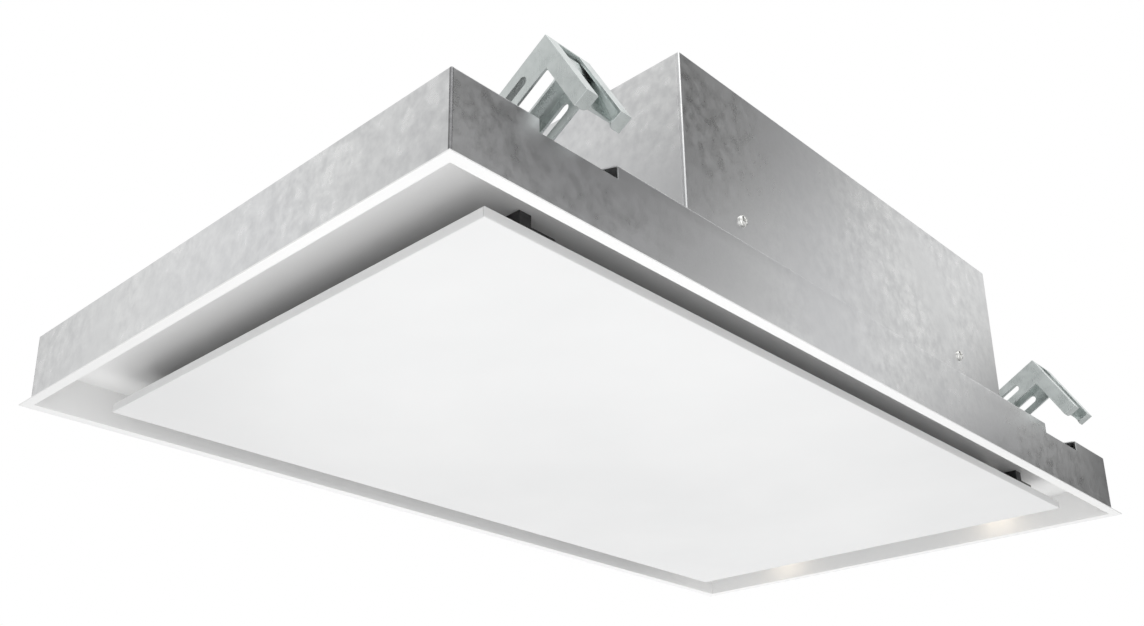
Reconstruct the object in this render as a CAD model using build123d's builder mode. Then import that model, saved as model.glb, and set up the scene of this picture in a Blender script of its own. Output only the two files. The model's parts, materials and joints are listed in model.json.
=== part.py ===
"""Ceiling range hood: a flush white trim and swing-down panel below the ceiling, a galvanised
casing and blower box above it, held in the ceiling cut-out by four screw-driven clamps.

Millimetres. Origin under the middle of the hood, level with the lower face of the trim's rim.
+X runs along the long side, the front with its two visible clamps is at -Y, and +Z is up."""

from build123d import *
from math import acos, cos, degrees, radians, sin
import os

os.makedirs("parts", exist_ok=True)

# ---- Driving dimensions -------------------------------------------------------------------
# Trim, the white frame that is seen in the room
trim_length = 900.0
trim_width = 500.0
trim_sheet = 1.0
trim_bend = 0.8
recess_roof = 31.0
seat_depth = 0.2
seat_play = 0.2

# Casing, the galvanised tray that passes through the ceiling
casing_length = 888.0
casing_width = 487.0
casing_sheet = 1.0
casing_top = 59.5
casing_bend = 1.5
nest_gap = 0.5

# Blower box on the casing and the ring that it is screwed to
box_length = 458.0
box_width = 474.4
box_sheet = 1.0
box_top = 189.0
box_bend = 1.2
ring_sheet = 1.5
ring_height = 40.0
ring_flange = 9.0
seam_gap = 1.2
seam_spans = ((-227.0, -73.0), (93.0, 131.0))
fold_offset = 2.7
fold_groove = 0.6
box_screw_x = (-165.0, 154.0)
box_screw_height = 21.5
box_screw_radius = 2.4
box_screw_head = 4.5
box_screw_head_height = 2.6

# Bottom panel and its hinges
panel_length = 780.0
panel_width = 427.0
panel_sheet = 1.0
panel_height = 7.0
panel_base = 1.0
panel_bend = 0.8
panel_seam = 0.35
backing_height = 4.0
backing_gap = 0.8
hinge_x = 230.0
hinge_y = 205.0
hinge_z = 14.0
hinge_pin_radius = 2.0
hinge_ear = 4.5
hinge_ear_sheet = 2.0
hinge_leaf_sheet = 1.5
hinge_plate_length = 30.0
hinge_plate_width = 18.0
hinge_tongue = 12.0

# Snap catches for the panel
catch_x = 290.0
catch_y = 177.0
catch_length = 24.0
catch_width = 11.0
catch_bottom = 13.0
catch_slot_length = 16.0
catch_slot_width = 2.8
catch_slot_top = 24.0
tongue_sheet = 1.6
tongue_length = 13.0
tongue_top = 22.0

# Grease filters
filter_bay_length = 700.0
filter_bay_width = 340.0
filter_count = 3
filter_gap = 0.6
filter_height = 10.0
filter_border = 13.0
filter_web = 3.0
filter_tab = 30.0
filter_tab_reach = 6.0
filter_tab_sheet = 1.2
latch_length = 50.0
latch_depth = 20.0
latch_travel = 6.0
latch_gap = 0.4
latch_drop = 3.0
latch_tongue_sheet = 1.5
latch_tongue_reach = 4.5

# Lamps in the roof of the recess
lamp_x = 419.0
lamp_y = 130.0
lamp_hole = 13.0
lamp_flange = 14.0
lamp_flange_height = 1.2
lamp_body_height = 14.0
lamp_lens = 10.0
lamp_lens_height = 2.0
lamp_gap = 0.2

# Ceiling clamps, described in the clamp's own frame: u runs down its leg, v down its fingers
clamp_x = 340.8
clamp_apex_y = 235.0
clamp_apex_z = 130.5
clamp_tilt = 30.0
clamp_width = 40.0
clamp_sheet = 2.0
clamp_leg_depth = 21.0
clamp_finger_width = 12.0
clamp_finger_length = 65.0
clamp_flange_width = 10.0
clamp_web_start = 2.5
clamp_web_top = 6.0
clamp_web_bottom = 56.0
clamp_top_end = 80.0
clamp_heel_u = 98.1
clamp_heel_v = 19.0
clamp_heel_radius = 5.0
clamp_slot_start = 26.0
clamp_slot_end = 73.0
clamp_slot_width = 7.0
clamp_slot_v = 11.0
clamp_fork_start = 16.0
clamp_fork_play = 3.0
foot_corner = 4.0
heel_pin_radius = 2.5
heel_play = 0.08
well_width = 69.5
well_taper = 5.2
well_taper_depth = 13.0
well_inner_y = 176.0
notch_depth = 10.0

# Tension screw of a clamp, its barrel nut and the lever that turns it
screw_y = 189.6
screw_radius = 3.0
screw_play = 0.08
screw_bottom = 14.0
screw_top = 101.0
screw_collar = 5.0
screw_collar_height = 2.0
screw_hole = 3.6
nut_radius = 6.0
nut_height = 91.0
nut_stub = 2.5
nut_head = 4.5
nut_head_height = 1.5
nut_side_gap = 0.5
lever_hub_x = 10.7
lever_hub_y = 17.2
lever_bottom = 12.0
lever_gap = 0.3
lever_arm = 29.0
lever_arm_top = 22.6
lever_arm_width = 13.0
lever_corner = 4.0
base_plate = 44.0
base_plate_sheet = 2.0

# Blower: scroll, lid, inlet ring, impeller and motor
blower_x = -25.0
blower_share = 0.35461
scroll_start = 122.0
scroll_end = 170.0
scroll_tongue = 85.0
scroll_wall = 2.5
scroll_top = 163.0
outlet_x = 65.0
outlet_length = 163.0
outlet_play = 0.2
lid_sheet = 3.0
riser_radius = 73.0
riser_wall = 2.5
inlet_hole = 98.0
inlet_throat = 90.0
inlet_wall = 1.5
inlet_height = 14.0
inlet_flange = 114.0
impeller_radius = 110.0
impeller_inner = 92.0
impeller_bottom = 78.0
impeller_top = 149.0
impeller_plate = 2.0
blade_count = 36
blade_sheet = 1.2
blade_curve = 11.0
cup_gap = 3.5
hub_radius = 11.0
motor_radius = 55.0
motor_bottom = 89.0
motor_top = 169.0
motor_bore = 4.4
shaft_radius = 4.0
shaft_play = 0.05
bearing_radius = 11.0
bearing_height = 7.0
bracket_radius = 80.0
bracket_sheet = 2.5
bracket_window = 13.0
grommet_radius = 7.0
grommet_ring = 71.0
motor_screw_ring = 34.0
motor_screw_radius = 2.5
motor_screw_head = 4.5

# Duct collar and non-return flaps
collar_radius = 75.0
collar_small_radius = 60.0
collar_wall = 2.5
collar_flange = 95.0
collar_flange_height = 2.5
collar_step = 240.0
collar_step_end = 252.0
collar_top = 299.0
collar_ledge = 6.5
collar_ledge_height = 1.5
collar_screw_ring = 86.0
collar_screw_radius = 2.0
collar_screw_head = 3.8
flap_radius = 70.0
flap_sheet = 1.5
flap_gap = 0.3
flap_split = 3.5
flap_pin_radius = 1.5
flap_pin_play = 0.02
flap_play = 0.08
knuckle_radius = 3.0
knuckle_length = 22.0
knuckle_gap = 1.0

# Electrics
control_x = -135.0
control_play = 12.2
control_length = 136.0
control_width = 106.0
control_height = 38.0
control_wall = 2.5
board_sheet = 1.6
board_height = 8.0
board_play = 5.5
board_parts = 18.0
terminal_length = 44.0
terminal_width = 20.0
terminal_height = 16.0
gland_inset = 79.0
gland_z = 130.0
gland_bore = 4.5
gland_thread = 8.0
gland_hex = 12.0
gland_nut = 5.0
gland_reach = 16.0
gland_hole_gap = 0.2

# ---- Derived places -------------------------------------------------------------------------
recess_length = casing_length - 2 * (casing_sheet + nest_gap + trim_sheet)
recess_width = casing_width - 2 * (casing_sheet + nest_gap + trim_sheet)
roof_top = recess_roof + trim_sheet
panel_top = panel_base + panel_height
seat_bottom = trim_sheet - seat_depth
backing_top = panel_base + panel_sheet + backing_height
ring_length = box_length - 2 * (box_sheet + nest_gap)
ring_width = box_width - 2 * (box_sheet + nest_gap)
ring_opening = ring_width / 2 - ring_sheet - ring_flange
outlet_y = ring_opening - outlet_play - scroll_wall - outlet_length / 2
blower_y = -blower_share * outlet_y
control_y = ring_opening - control_play - control_width / 2
gland_x = gland_inset - box_length / 2
blower = (blower_x, blower_y)
outlet = (outlet_x, outlet_y)
lamp_points = [(lamp_x, -lamp_y), (lamp_x, lamp_y)]
hinge_points = [(x, hinge_y) for x in (-hinge_x, hinge_x)]
catch_points = [(x, -catch_y) for x in (-catch_x, catch_x)]

# A stand is the ground plane of one clamp: the rear clamps are the front ones turned half round.
stands = {
    "front_left": Plane((-clamp_x, 0, 0), x_dir=(1, 0, 0), z_dir=(0, 0, 1)),
    "front_right": Plane((clamp_x, 0, 0), x_dir=(1, 0, 0), z_dir=(0, 0, 1)),
    "rear_left": Plane((-clamp_x, 0, 0), x_dir=(-1, 0, 0), z_dir=(0, 0, 1)),
    "rear_right": Plane((clamp_x, 0, 0), x_dir=(-1, 0, 0), z_dir=(0, 0, 1)),
}
screw_points = [stand.from_local_coords((0, -screw_y, 0)) for stand in stands.values()]
screw_spots = [(point.X, point.Y) for point in screw_points]

leg = (0, cos(radians(clamp_tilt)), -sin(radians(clamp_tilt)))
finger = (0, -sin(radians(clamp_tilt)), -cos(radians(clamp_tilt)))
heel_y = -clamp_apex_y + clamp_heel_u * leg[1] + clamp_heel_v * finger[1]
heel_z = clamp_apex_z + clamp_heel_u * leg[2] + clamp_heel_v * finger[2]


def on_stand(stand, plane):
    """The given plane, carried from the drawing of one clamp to its stand."""
    return Plane(stand.location * plane.location)


# ---- Trim: painted sheet steel, rim, upstand and roof of the recess in one piece --------------
with BuildPart() as trim_frame:
    with BuildSketch(Plane.XY):
        Rectangle(trim_length, trim_width)
        Rectangle(recess_length, recess_width, mode=Mode.SUBTRACT)
    extrude(amount=trim_sheet)
    with BuildSketch(Plane.XY):
        Rectangle(recess_length + 2 * trim_sheet, recess_width + 2 * trim_sheet)
        Rectangle(recess_length, recess_width, mode=Mode.SUBTRACT)
    extrude(amount=recess_roof)
    with BuildSketch(Plane.XY.offset(recess_roof)):
        Rectangle(recess_length + 2 * trim_sheet, recess_width + 2 * trim_sheet)
        Rectangle(filter_bay_length, filter_bay_width, mode=Mode.SUBTRACT)
        with Locations(*screw_spots):
            Circle(screw_hole, mode=Mode.SUBTRACT)
        with Locations(*lamp_points):
            Circle(lamp_hole, mode=Mode.SUBTRACT)
    extrude(amount=trim_sheet)
    with BuildSketch(Plane.XY.offset(seat_bottom)):
        Rectangle(casing_length + 2 * seat_play, casing_width + 2 * seat_play)
        Rectangle(recess_length + 2 * trim_sheet, recess_width + 2 * trim_sheet, mode=Mode.SUBTRACT)
    extrude(amount=seat_depth, mode=Mode.SUBTRACT)
    low_edges = trim_frame.edges().filter_by_position(Axis.Z, -0.01, 0.01)
    along = low_edges.filter_by_position(Axis.Y, -recess_width / 2 - 0.1, recess_width / 2 + 0.1)
    inner = along.filter_by_position(Axis.X, -recess_length / 2 - 0.1, recess_length / 2 + 0.1)
    fillet(inner, trim_bend)
trim_frame.part.label = "trim_frame"
export_step(trim_frame.part, "parts/trim_frame.step")

# ---- Casing: galvanised tray with four clamp wells, their notches and the blower inlet --------
with BuildPart() as casing:
    with BuildSketch(Plane.XY.offset(seat_bottom)):
        Rectangle(casing_length, casing_width)
    extrude(amount=casing_top - seat_bottom)
    upright = casing.edges().filter_by(Axis.Z)
    upper = casing.faces().sort_by(Axis.Z)[-1].edges()
    fillet(upright + upper, casing_bend)
    with BuildSketch(Plane.XY.offset(seat_bottom)):
        Rectangle(casing_length - 2 * casing_sheet, casing_width - 2 * casing_sheet)
    extrude(amount=casing_top - casing_sheet - seat_bottom, mode=Mode.SUBTRACT)
    with BuildSketch(Plane.XY.offset(casing_top)):
        with Locations(blower):
            Circle(inlet_hole + 2)
    extrude(amount=-2 * casing_sheet, mode=Mode.SUBTRACT)
    for stand in stands.values():
        with BuildSketch(on_stand(stand, Plane.XY.offset(casing_top))):
            Polygon(
                (-well_width / 2, -casing_width / 2 - 1),
                (well_width / 2, -casing_width / 2 - 1),
                (well_width / 2, -casing_width / 2),
                (well_width / 2 - well_taper, -casing_width / 2 + well_taper_depth),
                (well_width / 2 - well_taper, -well_inner_y),
                (well_taper - well_width / 2, -well_inner_y),
                (well_taper - well_width / 2, -casing_width / 2 + well_taper_depth),
                (-well_width / 2, -casing_width / 2),
                align=None,
            )
        extrude(amount=-2 * casing_sheet, mode=Mode.SUBTRACT)
        with BuildSketch(on_stand(stand, Plane.XY.offset(casing_top))):
            with Locations((0, -casing_width / 2)):
                Rectangle(well_width, 3 * casing_sheet)
        extrude(amount=-notch_depth, mode=Mode.SUBTRACT)
casing.part.label = "casing"
export_step(casing.part, "parts/casing.step")

# ---- Ring: L-section frame on the casing that the blower box is screwed to ---------------------
box_screw_z = casing_top + box_screw_height
box_screw_front = [(x, box_screw_z) for x in box_screw_x]
with BuildPart() as box_ring:
    with BuildSketch(Plane.XY.offset(casing_top)):
        Rectangle(ring_length, ring_width)
    extrude(amount=ring_height)
    with BuildSketch(Plane.XY.offset(casing_top)):
        Rectangle(ring_length - 2 * (ring_sheet + ring_flange), ring_width - 2 * (ring_sheet + ring_flange))
    extrude(amount=ring_height, mode=Mode.SUBTRACT)
    with BuildSketch(Plane.XY.offset(casing_top + ring_sheet)):
        Rectangle(ring_length - 2 * ring_sheet, ring_width - 2 * ring_sheet)
    extrude(amount=ring_height, mode=Mode.SUBTRACT)
    for turn in (0, 180):
        with BuildSketch(Plane.XZ.rotated((0, 0, turn)).offset(box_width / 2 + 1)):
            with Locations(*box_screw_front):
                Circle(box_screw_radius + 0.1)
        extrude(amount=-box_sheet - nest_gap - ring_sheet - 3, mode=Mode.SUBTRACT)
box_ring.part.label = "box_ring"
export_step(box_ring.part, "parts/box_ring.step")

# ---- Blower box: galvanised cover with the hole for the duct collar ----------------------------
with BuildPart() as blower_box:
    with BuildSketch(Plane.XY.offset(casing_top)):
        Rectangle(box_length, box_width)
    extrude(amount=box_top - casing_top)
    upright = blower_box.edges().filter_by(Axis.Z)
    upper = blower_box.faces().sort_by(Axis.Z)[-1].edges()
    fillet(upright + upper, box_bend)
    with BuildSketch(Plane.XY.offset(casing_top)):
        Rectangle(box_length - 2 * box_sheet, box_width - 2 * box_sheet)
    extrude(amount=box_top - box_sheet - casing_top, mode=Mode.SUBTRACT)
    with BuildSketch(Plane.XY.offset(box_top)):
        with Locations(outlet):
            Circle(collar_radius - collar_wall + 1)
            with PolarLocations(collar_screw_ring, 4, start_angle=45):
                Circle(collar_screw_radius + 0.1)
    extrude(amount=-2 * box_sheet, mode=Mode.SUBTRACT)
    for turn in (0, 180):
        with BuildSketch(Plane.XZ.rotated((0, 0, turn)).offset(box_width / 2 + 1)):
            with Locations(*box_screw_front):
                Circle(box_screw_radius + 0.1)
        extrude(amount=-box_sheet - 2, mode=Mode.SUBTRACT)
    with BuildSketch(Plane.XZ.offset(box_width / 2 + 1)):
        for low_x, high_x in seam_spans:
            with Locations(((low_x + high_x) / 2, casing_top)):
                Rectangle(high_x - low_x, 2 * seam_gap)
    extrude(amount=-box_sheet - 2, mode=Mode.SUBTRACT)
    with BuildSketch(Plane.XY.offset(casing_top)):
        for side in (-1, 1):
            for end in (-1, 1):
                with Locations((side * box_length / 2, end * (box_width / 2 - fold_offset))):
                    Rectangle(0.8 * box_sheet, fold_groove)
    extrude(amount=box_top - box_bend - casing_top, mode=Mode.SUBTRACT)
    with BuildSketch(Plane.XZ.rotated((0, 0, 180)).offset(box_width / 2 + 1)):
        with Locations((-gland_x, gland_z)):
            Circle(gland_thread + gland_hole_gap)
    extrude(amount=-box_sheet - 2, mode=Mode.SUBTRACT)
blower_box.part.label = "blower_box"
export_step(blower_box.part, "parts/blower_box.step")

# ---- Box screws: four pan-head screws, two at the front and two at the rear --------------------
with BuildPart() as box_screws:
    for turn in (0, 180):
        with BuildSketch(Plane.XZ.rotated((0, 0, turn)).offset(box_width / 2)):
            with Locations(*box_screw_front):
                Circle(box_screw_head)
        extrude(amount=box_screw_head_height)
        with BuildSketch(Plane.XZ.rotated((0, 0, turn)).offset(box_width / 2)):
            with Locations(*box_screw_front):
                Circle(box_screw_radius)
        extrude(amount=-box_sheet - nest_gap - ring_sheet - 5)
    rims = box_screws.edges().filter_by(GeomType.CIRCLE).filter_by(lambda e: e.radius > box_screw_radius + 1)
    outer_rims = rims.filter_by(lambda e: abs(e.center().Y) > box_width / 2 + 1)
    fillet(outer_rims, 1.2)
box_screws.part.label = "box_screws"
export_step(box_screws.part, "parts/box_screws.step")

# ---- Panel: folded sheet-steel tray that closes the recess, with a sound-damping backing -------
with BuildPart() as panel:
    with BuildSketch(Plane.XY.offset(panel_base)):
        Rectangle(panel_length, panel_width)
    extrude(amount=panel_height)
    fillet(panel.faces().sort_by(Axis.Z)[0].edges(), panel_bend)
    with BuildSketch(Plane.XY.offset(panel_base + panel_sheet)):
        Rectangle(panel_length - 2 * panel_sheet, panel_width - 2 * panel_sheet)
    extrude(amount=panel_height, mode=Mode.SUBTRACT)
    with BuildSketch(Plane.XY.offset(panel_base + panel_sheet)):
        with GridLocations(panel_length, panel_width - 2 * panel_sheet + panel_seam, 2, 2):
            Rectangle(3 * panel_sheet, panel_seam)
    extrude(amount=panel_height, mode=Mode.SUBTRACT)
panel.part.label = "panel"
export_step(panel.part, "parts/panel.step")

with BuildPart() as panel_backing:
    with BuildSketch(Plane.XY.offset(panel_base + panel_sheet)):
        Rectangle(
            panel_length - 2 * (panel_sheet + backing_gap),
            panel_width - 2 * (panel_sheet + backing_gap),
        )
    extrude(amount=backing_height)
panel_backing.part.label = "panel_backing"
export_step(panel_backing.part, "parts/panel_backing.step")

# ---- Panel hinges: brackets under the roof, leaves on the panel, and their pins ----------------
bracket_gap = hinge_tongue + 0.8
with BuildPart() as hinge_brackets:
    with BuildSketch(Plane.XY.offset(recess_roof)):
        with Locations(*hinge_points):
            Rectangle(hinge_plate_length, hinge_plate_width)
    extrude(amount=-hinge_leaf_sheet)
    for x, y in hinge_points:
        for side in (-1, 1):
            near_x = x + side * bracket_gap / 2
            with BuildSketch(Plane.YZ.offset(near_x)):
                with Locations((y, hinge_z)):
                    Circle(hinge_ear)
                with Locations((y, (hinge_z + recess_roof) / 2)):
                    Rectangle(2 * hinge_ear, recess_roof - hinge_z)
                with Locations((y, hinge_z)):
                    Circle(hinge_pin_radius, mode=Mode.SUBTRACT)
            extrude(amount=side * hinge_ear_sheet)
hinge_brackets.part.label = "hinge_brackets"
export_step(hinge_brackets.part, "parts/hinge_brackets.step")

with BuildPart() as hinge_leaves:
    with BuildSketch(Plane.XY.offset(backing_top)):
        with Locations(*[(x, y - hinge_plate_width / 2 + hinge_ear) for x, y in hinge_points]):
            Rectangle(hinge_plate_length, hinge_plate_width)
    extrude(amount=hinge_leaf_sheet)
    for x, y in hinge_points:
        with BuildSketch(Plane.YZ.offset(x - hinge_tongue / 2)):
            with Locations((y, hinge_z)):
                Circle(hinge_ear)
            with Locations((y, (hinge_z + backing_top) / 2)):
                Rectangle(2 * hinge_ear, hinge_z - backing_top)
            with Locations((y, hinge_z)):
                Circle(hinge_pin_radius + heel_play, mode=Mode.SUBTRACT)
        extrude(amount=hinge_tongue)
hinge_leaves.part.label = "hinge_leaves"
export_step(hinge_leaves.part, "parts/hinge_leaves.step")

hinge_pin_length = bracket_gap + 2 * hinge_ear_sheet
with BuildPart() as hinge_pins:
    for x, y in hinge_points:
        with BuildSketch(Plane.YZ.offset(x - hinge_pin_length / 2)):
            with Locations((y, hinge_z)):
                Circle(hinge_pin_radius)
        extrude(amount=hinge_pin_length)
        with BuildSketch(Plane.YZ.offset(x - hinge_pin_length / 2)):
            with Locations((y, hinge_z)):
                Circle(hinge_pin_radius + 1)
        extrude(amount=-1)
        with BuildSketch(Plane.YZ.offset(x + hinge_pin_length / 2)):
            with Locations((y, hinge_z)):
                Circle(hinge_pin_radius + 1)
        extrude(amount=1)
hinge_pins.part.label = "hinge_pins"
export_step(hinge_pins.part, "parts/hinge_pins.step")

# ---- Snap catches: black clips under the roof, and the steel tongues that enter them -----------
for side, place in zip(("left", "right"), catch_points):
    with BuildPart() as panel_catch:
        with BuildSketch(Plane.XY.offset(catch_bottom)):
            with Locations(place):
                Rectangle(catch_length, catch_width)
        extrude(amount=recess_roof - catch_bottom)
        fillet(panel_catch.edges().filter_by(Axis.Z), 1.5)
        with BuildSketch(Plane.XY.offset(catch_bottom)):
            with Locations(place):
                Rectangle(catch_slot_length, catch_slot_width)
        extrude(amount=catch_slot_top - catch_bottom, mode=Mode.SUBTRACT)
    panel_catch.part.label = f"panel_catch_{side}"
    export_step(panel_catch.part, f"parts/panel_catch_{side}.step")

with BuildPart() as catch_tongues:
    with BuildSketch(Plane.XY.offset(backing_top)):
        with Locations(*[(x, y + catch_width / 2) for x, y in catch_points]):
            Rectangle(catch_length, catch_width + tongue_sheet)
    extrude(amount=tongue_sheet)
    with BuildSketch(Plane.XY.offset(backing_top)):
        with Locations(*catch_points):
            Rectangle(tongue_length, tongue_sheet)
    extrude(amount=tongue_top - backing_top)
catch_tongues.part.label = "catch_tongues"
export_step(catch_tongues.part, "parts/catch_tongues.step")

# ---- Grease filters: aluminium cassettes in the roof, each with two tabs and a sprung latch ----
filter_pitch = filter_bay_length / filter_count
filter_length = filter_pitch - filter_gap
filter_width = filter_bay_width - 2 * filter_gap
filter_front = -filter_width / 2
tongue_z = roof_top + latch_gap
pocket_width = latch_length + 2 * latch_gap
pocket_depth = latch_depth + latch_travel + 2 * latch_gap
filter_names = ("left", "centre", "right")
for index, side in enumerate(filter_names[:filter_count]):
    middle = (index - (filter_count - 1) / 2) * filter_pitch
    with BuildPart() as grease_filter:
        with BuildSketch(Plane.XY.offset(recess_roof)):
            with Locations((middle, 0)):
                Rectangle(filter_length, filter_width)
        extrude(amount=filter_height)
        for height, depth in ((recess_roof, 1), (recess_roof + filter_height, -1)):
            with BuildSketch(Plane.XY.offset(height)):
                with Locations((middle, (pocket_depth - filter_border) / 2)):
                    Rectangle(
                        filter_length - 2 * filter_border,
                        filter_width - pocket_depth - filter_border,
                    )
            extrude(amount=depth * (filter_height - filter_web) / 2, mode=Mode.SUBTRACT)
        with BuildSketch(Plane.XY.offset(recess_roof)):
            with Locations((middle, filter_front + pocket_depth / 2)):
                Rectangle(pocket_width, pocket_depth)
        extrude(amount=filter_height - filter_web + latch_gap, mode=Mode.SUBTRACT)
        with BuildSketch(Plane.XY.offset(tongue_z)):
            with Locations(*[(middle + s * filter_length / 4, -filter_front) for s in (-1, 1)]):
                Rectangle(filter_tab, 2 * filter_tab_reach)
        extrude(amount=filter_tab_sheet)
    grease_filter.part.label = f"grease_filter_{side}"
    export_step(grease_filter.part, f"parts/grease_filter_{side}.step")

    with BuildPart() as filter_latch:
        latch_middle = filter_front + latch_gap + latch_depth / 2
        with BuildSketch(Plane.XY.offset(recess_roof)):
            with Locations((middle, latch_middle)):
                RectangleRounded(latch_length, latch_depth, 2)
        extrude(amount=filter_height - filter_web)
        with BuildSketch(Plane.XY.offset(recess_roof)):
            with Locations((middle, latch_middle)):
                RectangleRounded(latch_length - 8, latch_depth / 3, 2)
        extrude(amount=-latch_drop)
        with BuildSketch(Plane.XY.offset(tongue_z)):
            with Locations((middle, filter_front - filter_gap)):
                Rectangle(latch_length / 2, 2 * latch_tongue_reach)
        extrude(amount=latch_tongue_sheet)
    filter_latch.part.label = f"filter_latch_{side}"
    export_step(filter_latch.part, f"parts/filter_latch_{side}.step")

# ---- Lamps: two spot bezels pressed into the right of the roof, with frosted lenses ------------
with BuildPart() as lamp_bezels:
    with BuildSketch(Plane.XY.offset(recess_roof)):
        with Locations(*lamp_points):
            Circle(lamp_flange)
    extrude(amount=-lamp_flange_height)
    with BuildSketch(Plane.XY.offset(recess_roof)):
        with Locations(*lamp_points):
            Circle(lamp_hole - lamp_gap)
    extrude(amount=lamp_body_height)
    with BuildSketch(Plane.XY.offset(recess_roof - lamp_flange_height)):
        with Locations(*lamp_points):
            Circle(lamp_lens + lamp_gap)
    extrude(amount=lamp_lens_height, mode=Mode.SUBTRACT)
lamp_bezels.part.label = "lamp_bezels"
export_step(lamp_bezels.part, "parts/lamp_bezels.step")

with BuildPart() as lamp_lenses:
    with BuildSketch(Plane.XY.offset(recess_roof - lamp_flange_height)):
        with Locations(*lamp_points):
            Circle(lamp_lens)
    extrude(amount=lamp_lens_height)
lamp_lenses.part.label = "lamp_lenses"
export_step(lamp_lenses.part, "parts/lamp_lenses.step")

# ---- Ceiling clamps: folded zinc-plated straps, each worked by a screw from below --------------
half_width = clamp_width / 2
apex_point = (half_width, -clamp_apex_y, clamp_apex_z)
cheek_plane = Plane(apex_point, x_dir=leg, z_dir=(-1, 0, 0))
front_plane = Plane((0, -clamp_apex_y, clamp_apex_z), x_dir=(1, 0, 0), z_dir=leg)
top_plane = Plane((0, -clamp_apex_y, clamp_apex_z), x_dir=leg, z_dir=finger)
fork_width = 2 * (screw_radius + clamp_fork_play)
finger_centre = half_width - clamp_flange_width / 2
for name, stand in stands.items():
    with BuildPart() as clamp:
        for reach in (0, clamp_width - clamp_sheet):
            with BuildSketch(on_stand(stand, cheek_plane.offset(reach))):
                with BuildLine():
                    Polyline(
                        (0, 0),
                        (clamp_heel_u - 14, 0),
                        (clamp_heel_u + clamp_heel_radius, clamp_heel_v - 3),
                        (clamp_heel_u + clamp_heel_radius, clamp_heel_v),
                        (clamp_heel_u - clamp_heel_radius, clamp_leg_depth),
                        (clamp_finger_width, clamp_leg_depth),
                        (clamp_finger_width, clamp_finger_length),
                        (0, clamp_finger_length),
                        close=True,
                    )
                make_face()
                with Locations((clamp_heel_u, clamp_heel_v)):
                    Circle(clamp_heel_radius)
                    Circle(heel_pin_radius + heel_play, mode=Mode.SUBTRACT)
                with Locations(((clamp_slot_start + clamp_slot_end) / 2, clamp_slot_v)):
                    SlotOverall(clamp_slot_end - clamp_slot_start, clamp_slot_width, mode=Mode.SUBTRACT)
            extrude(amount=clamp_sheet)
        with BuildSketch(on_stand(stand, front_plane)):
            for side in (-1, 1):
                with Locations((side * finger_centre, clamp_finger_length / 2)):
                    Rectangle(clamp_flange_width, clamp_finger_length)
        extrude(amount=clamp_sheet)
        with BuildSketch(on_stand(stand, cheek_plane.offset(clamp_sheet))):
            Polygon(
                (clamp_web_start, clamp_web_top),
                (clamp_web_start + clamp_sheet, clamp_web_top),
                (clamp_finger_width, clamp_web_bottom),
                (clamp_finger_width - clamp_sheet, clamp_web_bottom),
                align=None,
            )
        extrude(amount=clamp_width - 2 * clamp_sheet)
        with BuildSketch(on_stand(stand, top_plane)):
            with Locations((clamp_top_end / 2, 0)):
                Rectangle(clamp_top_end, clamp_width)
            with Locations(((clamp_fork_start + clamp_top_end + fork_width) / 2, 0)):
                SlotOverall(clamp_top_end + fork_width - clamp_fork_start, fork_width, mode=Mode.SUBTRACT)
        extrude(amount=clamp_sheet)
        foot_plane = Plane(
            (0, -clamp_apex_y + clamp_finger_length * finger[1], clamp_apex_z + clamp_finger_length * finger[2]),
            x_dir=(1, 0, 0),
            z_dir=tuple(-part for part in finger),
        )
        with BuildSketch(on_stand(stand, foot_plane)):
            for side in (-1, 1):
                with Locations((side * finger_centre, clamp_finger_width / 2)):
                    RectangleRounded(clamp_flange_width, clamp_finger_width, foot_corner)
                with Locations((side * finger_centre, clamp_finger_width / 4)):
                    Rectangle(clamp_flange_width, clamp_finger_width / 2)
        extrude(amount=clamp_sheet)
    clamp.part.label = f"clamp_{name}"
    export_step(clamp.part, f"parts/clamp_{name}.step")

    with BuildPart() as clamp_nut:
        nut_half = half_width - clamp_sheet - nut_side_gap
        stub_half = half_width + nut_side_gap
        for radius, low, high in (
            (nut_radius, -nut_half, nut_half),
            (nut_stub, -stub_half, stub_half),
            (nut_head, stub_half, stub_half + nut_head_height),
            (nut_head, -stub_half - nut_head_height, -stub_half),
        ):
            with BuildSketch(on_stand(stand, Plane((low, -screw_y, nut_height), x_dir=(0, 1, 0), z_dir=(1, 0, 0)))):
                Circle(radius)
            extrude(amount=high - low)
        with BuildSketch(on_stand(stand, Plane((0, -screw_y, nut_height - 2 * nut_radius)))):
            Circle(screw_radius + screw_play)
        extrude(amount=4 * nut_radius, mode=Mode.SUBTRACT)
    clamp_nut.part.label = f"clamp_nut_{name}"
    export_step(clamp_nut.part, f"parts/clamp_nut_{name}.step")

    with BuildPart() as clamp_screw:
        with BuildSketch(on_stand(stand, Plane((0, -screw_y, screw_bottom)))):
            Circle(screw_radius)
        extrude(amount=screw_top - screw_bottom)
        chamfer(clamp_screw.faces().sort_by(Axis.Z)[-1].edges(), 0.8)
        collar_bottom = roof_top + base_plate_sheet + lever_gap
        with BuildSketch(on_stand(stand, Plane((0, -screw_y, collar_bottom)))):
            Circle(screw_collar)
        extrude(amount=screw_collar_height)
    clamp_screw.part.label = f"clamp_screw_{name}"
    export_step(clamp_screw.part, f"parts/clamp_screw_{name}.step")

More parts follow.
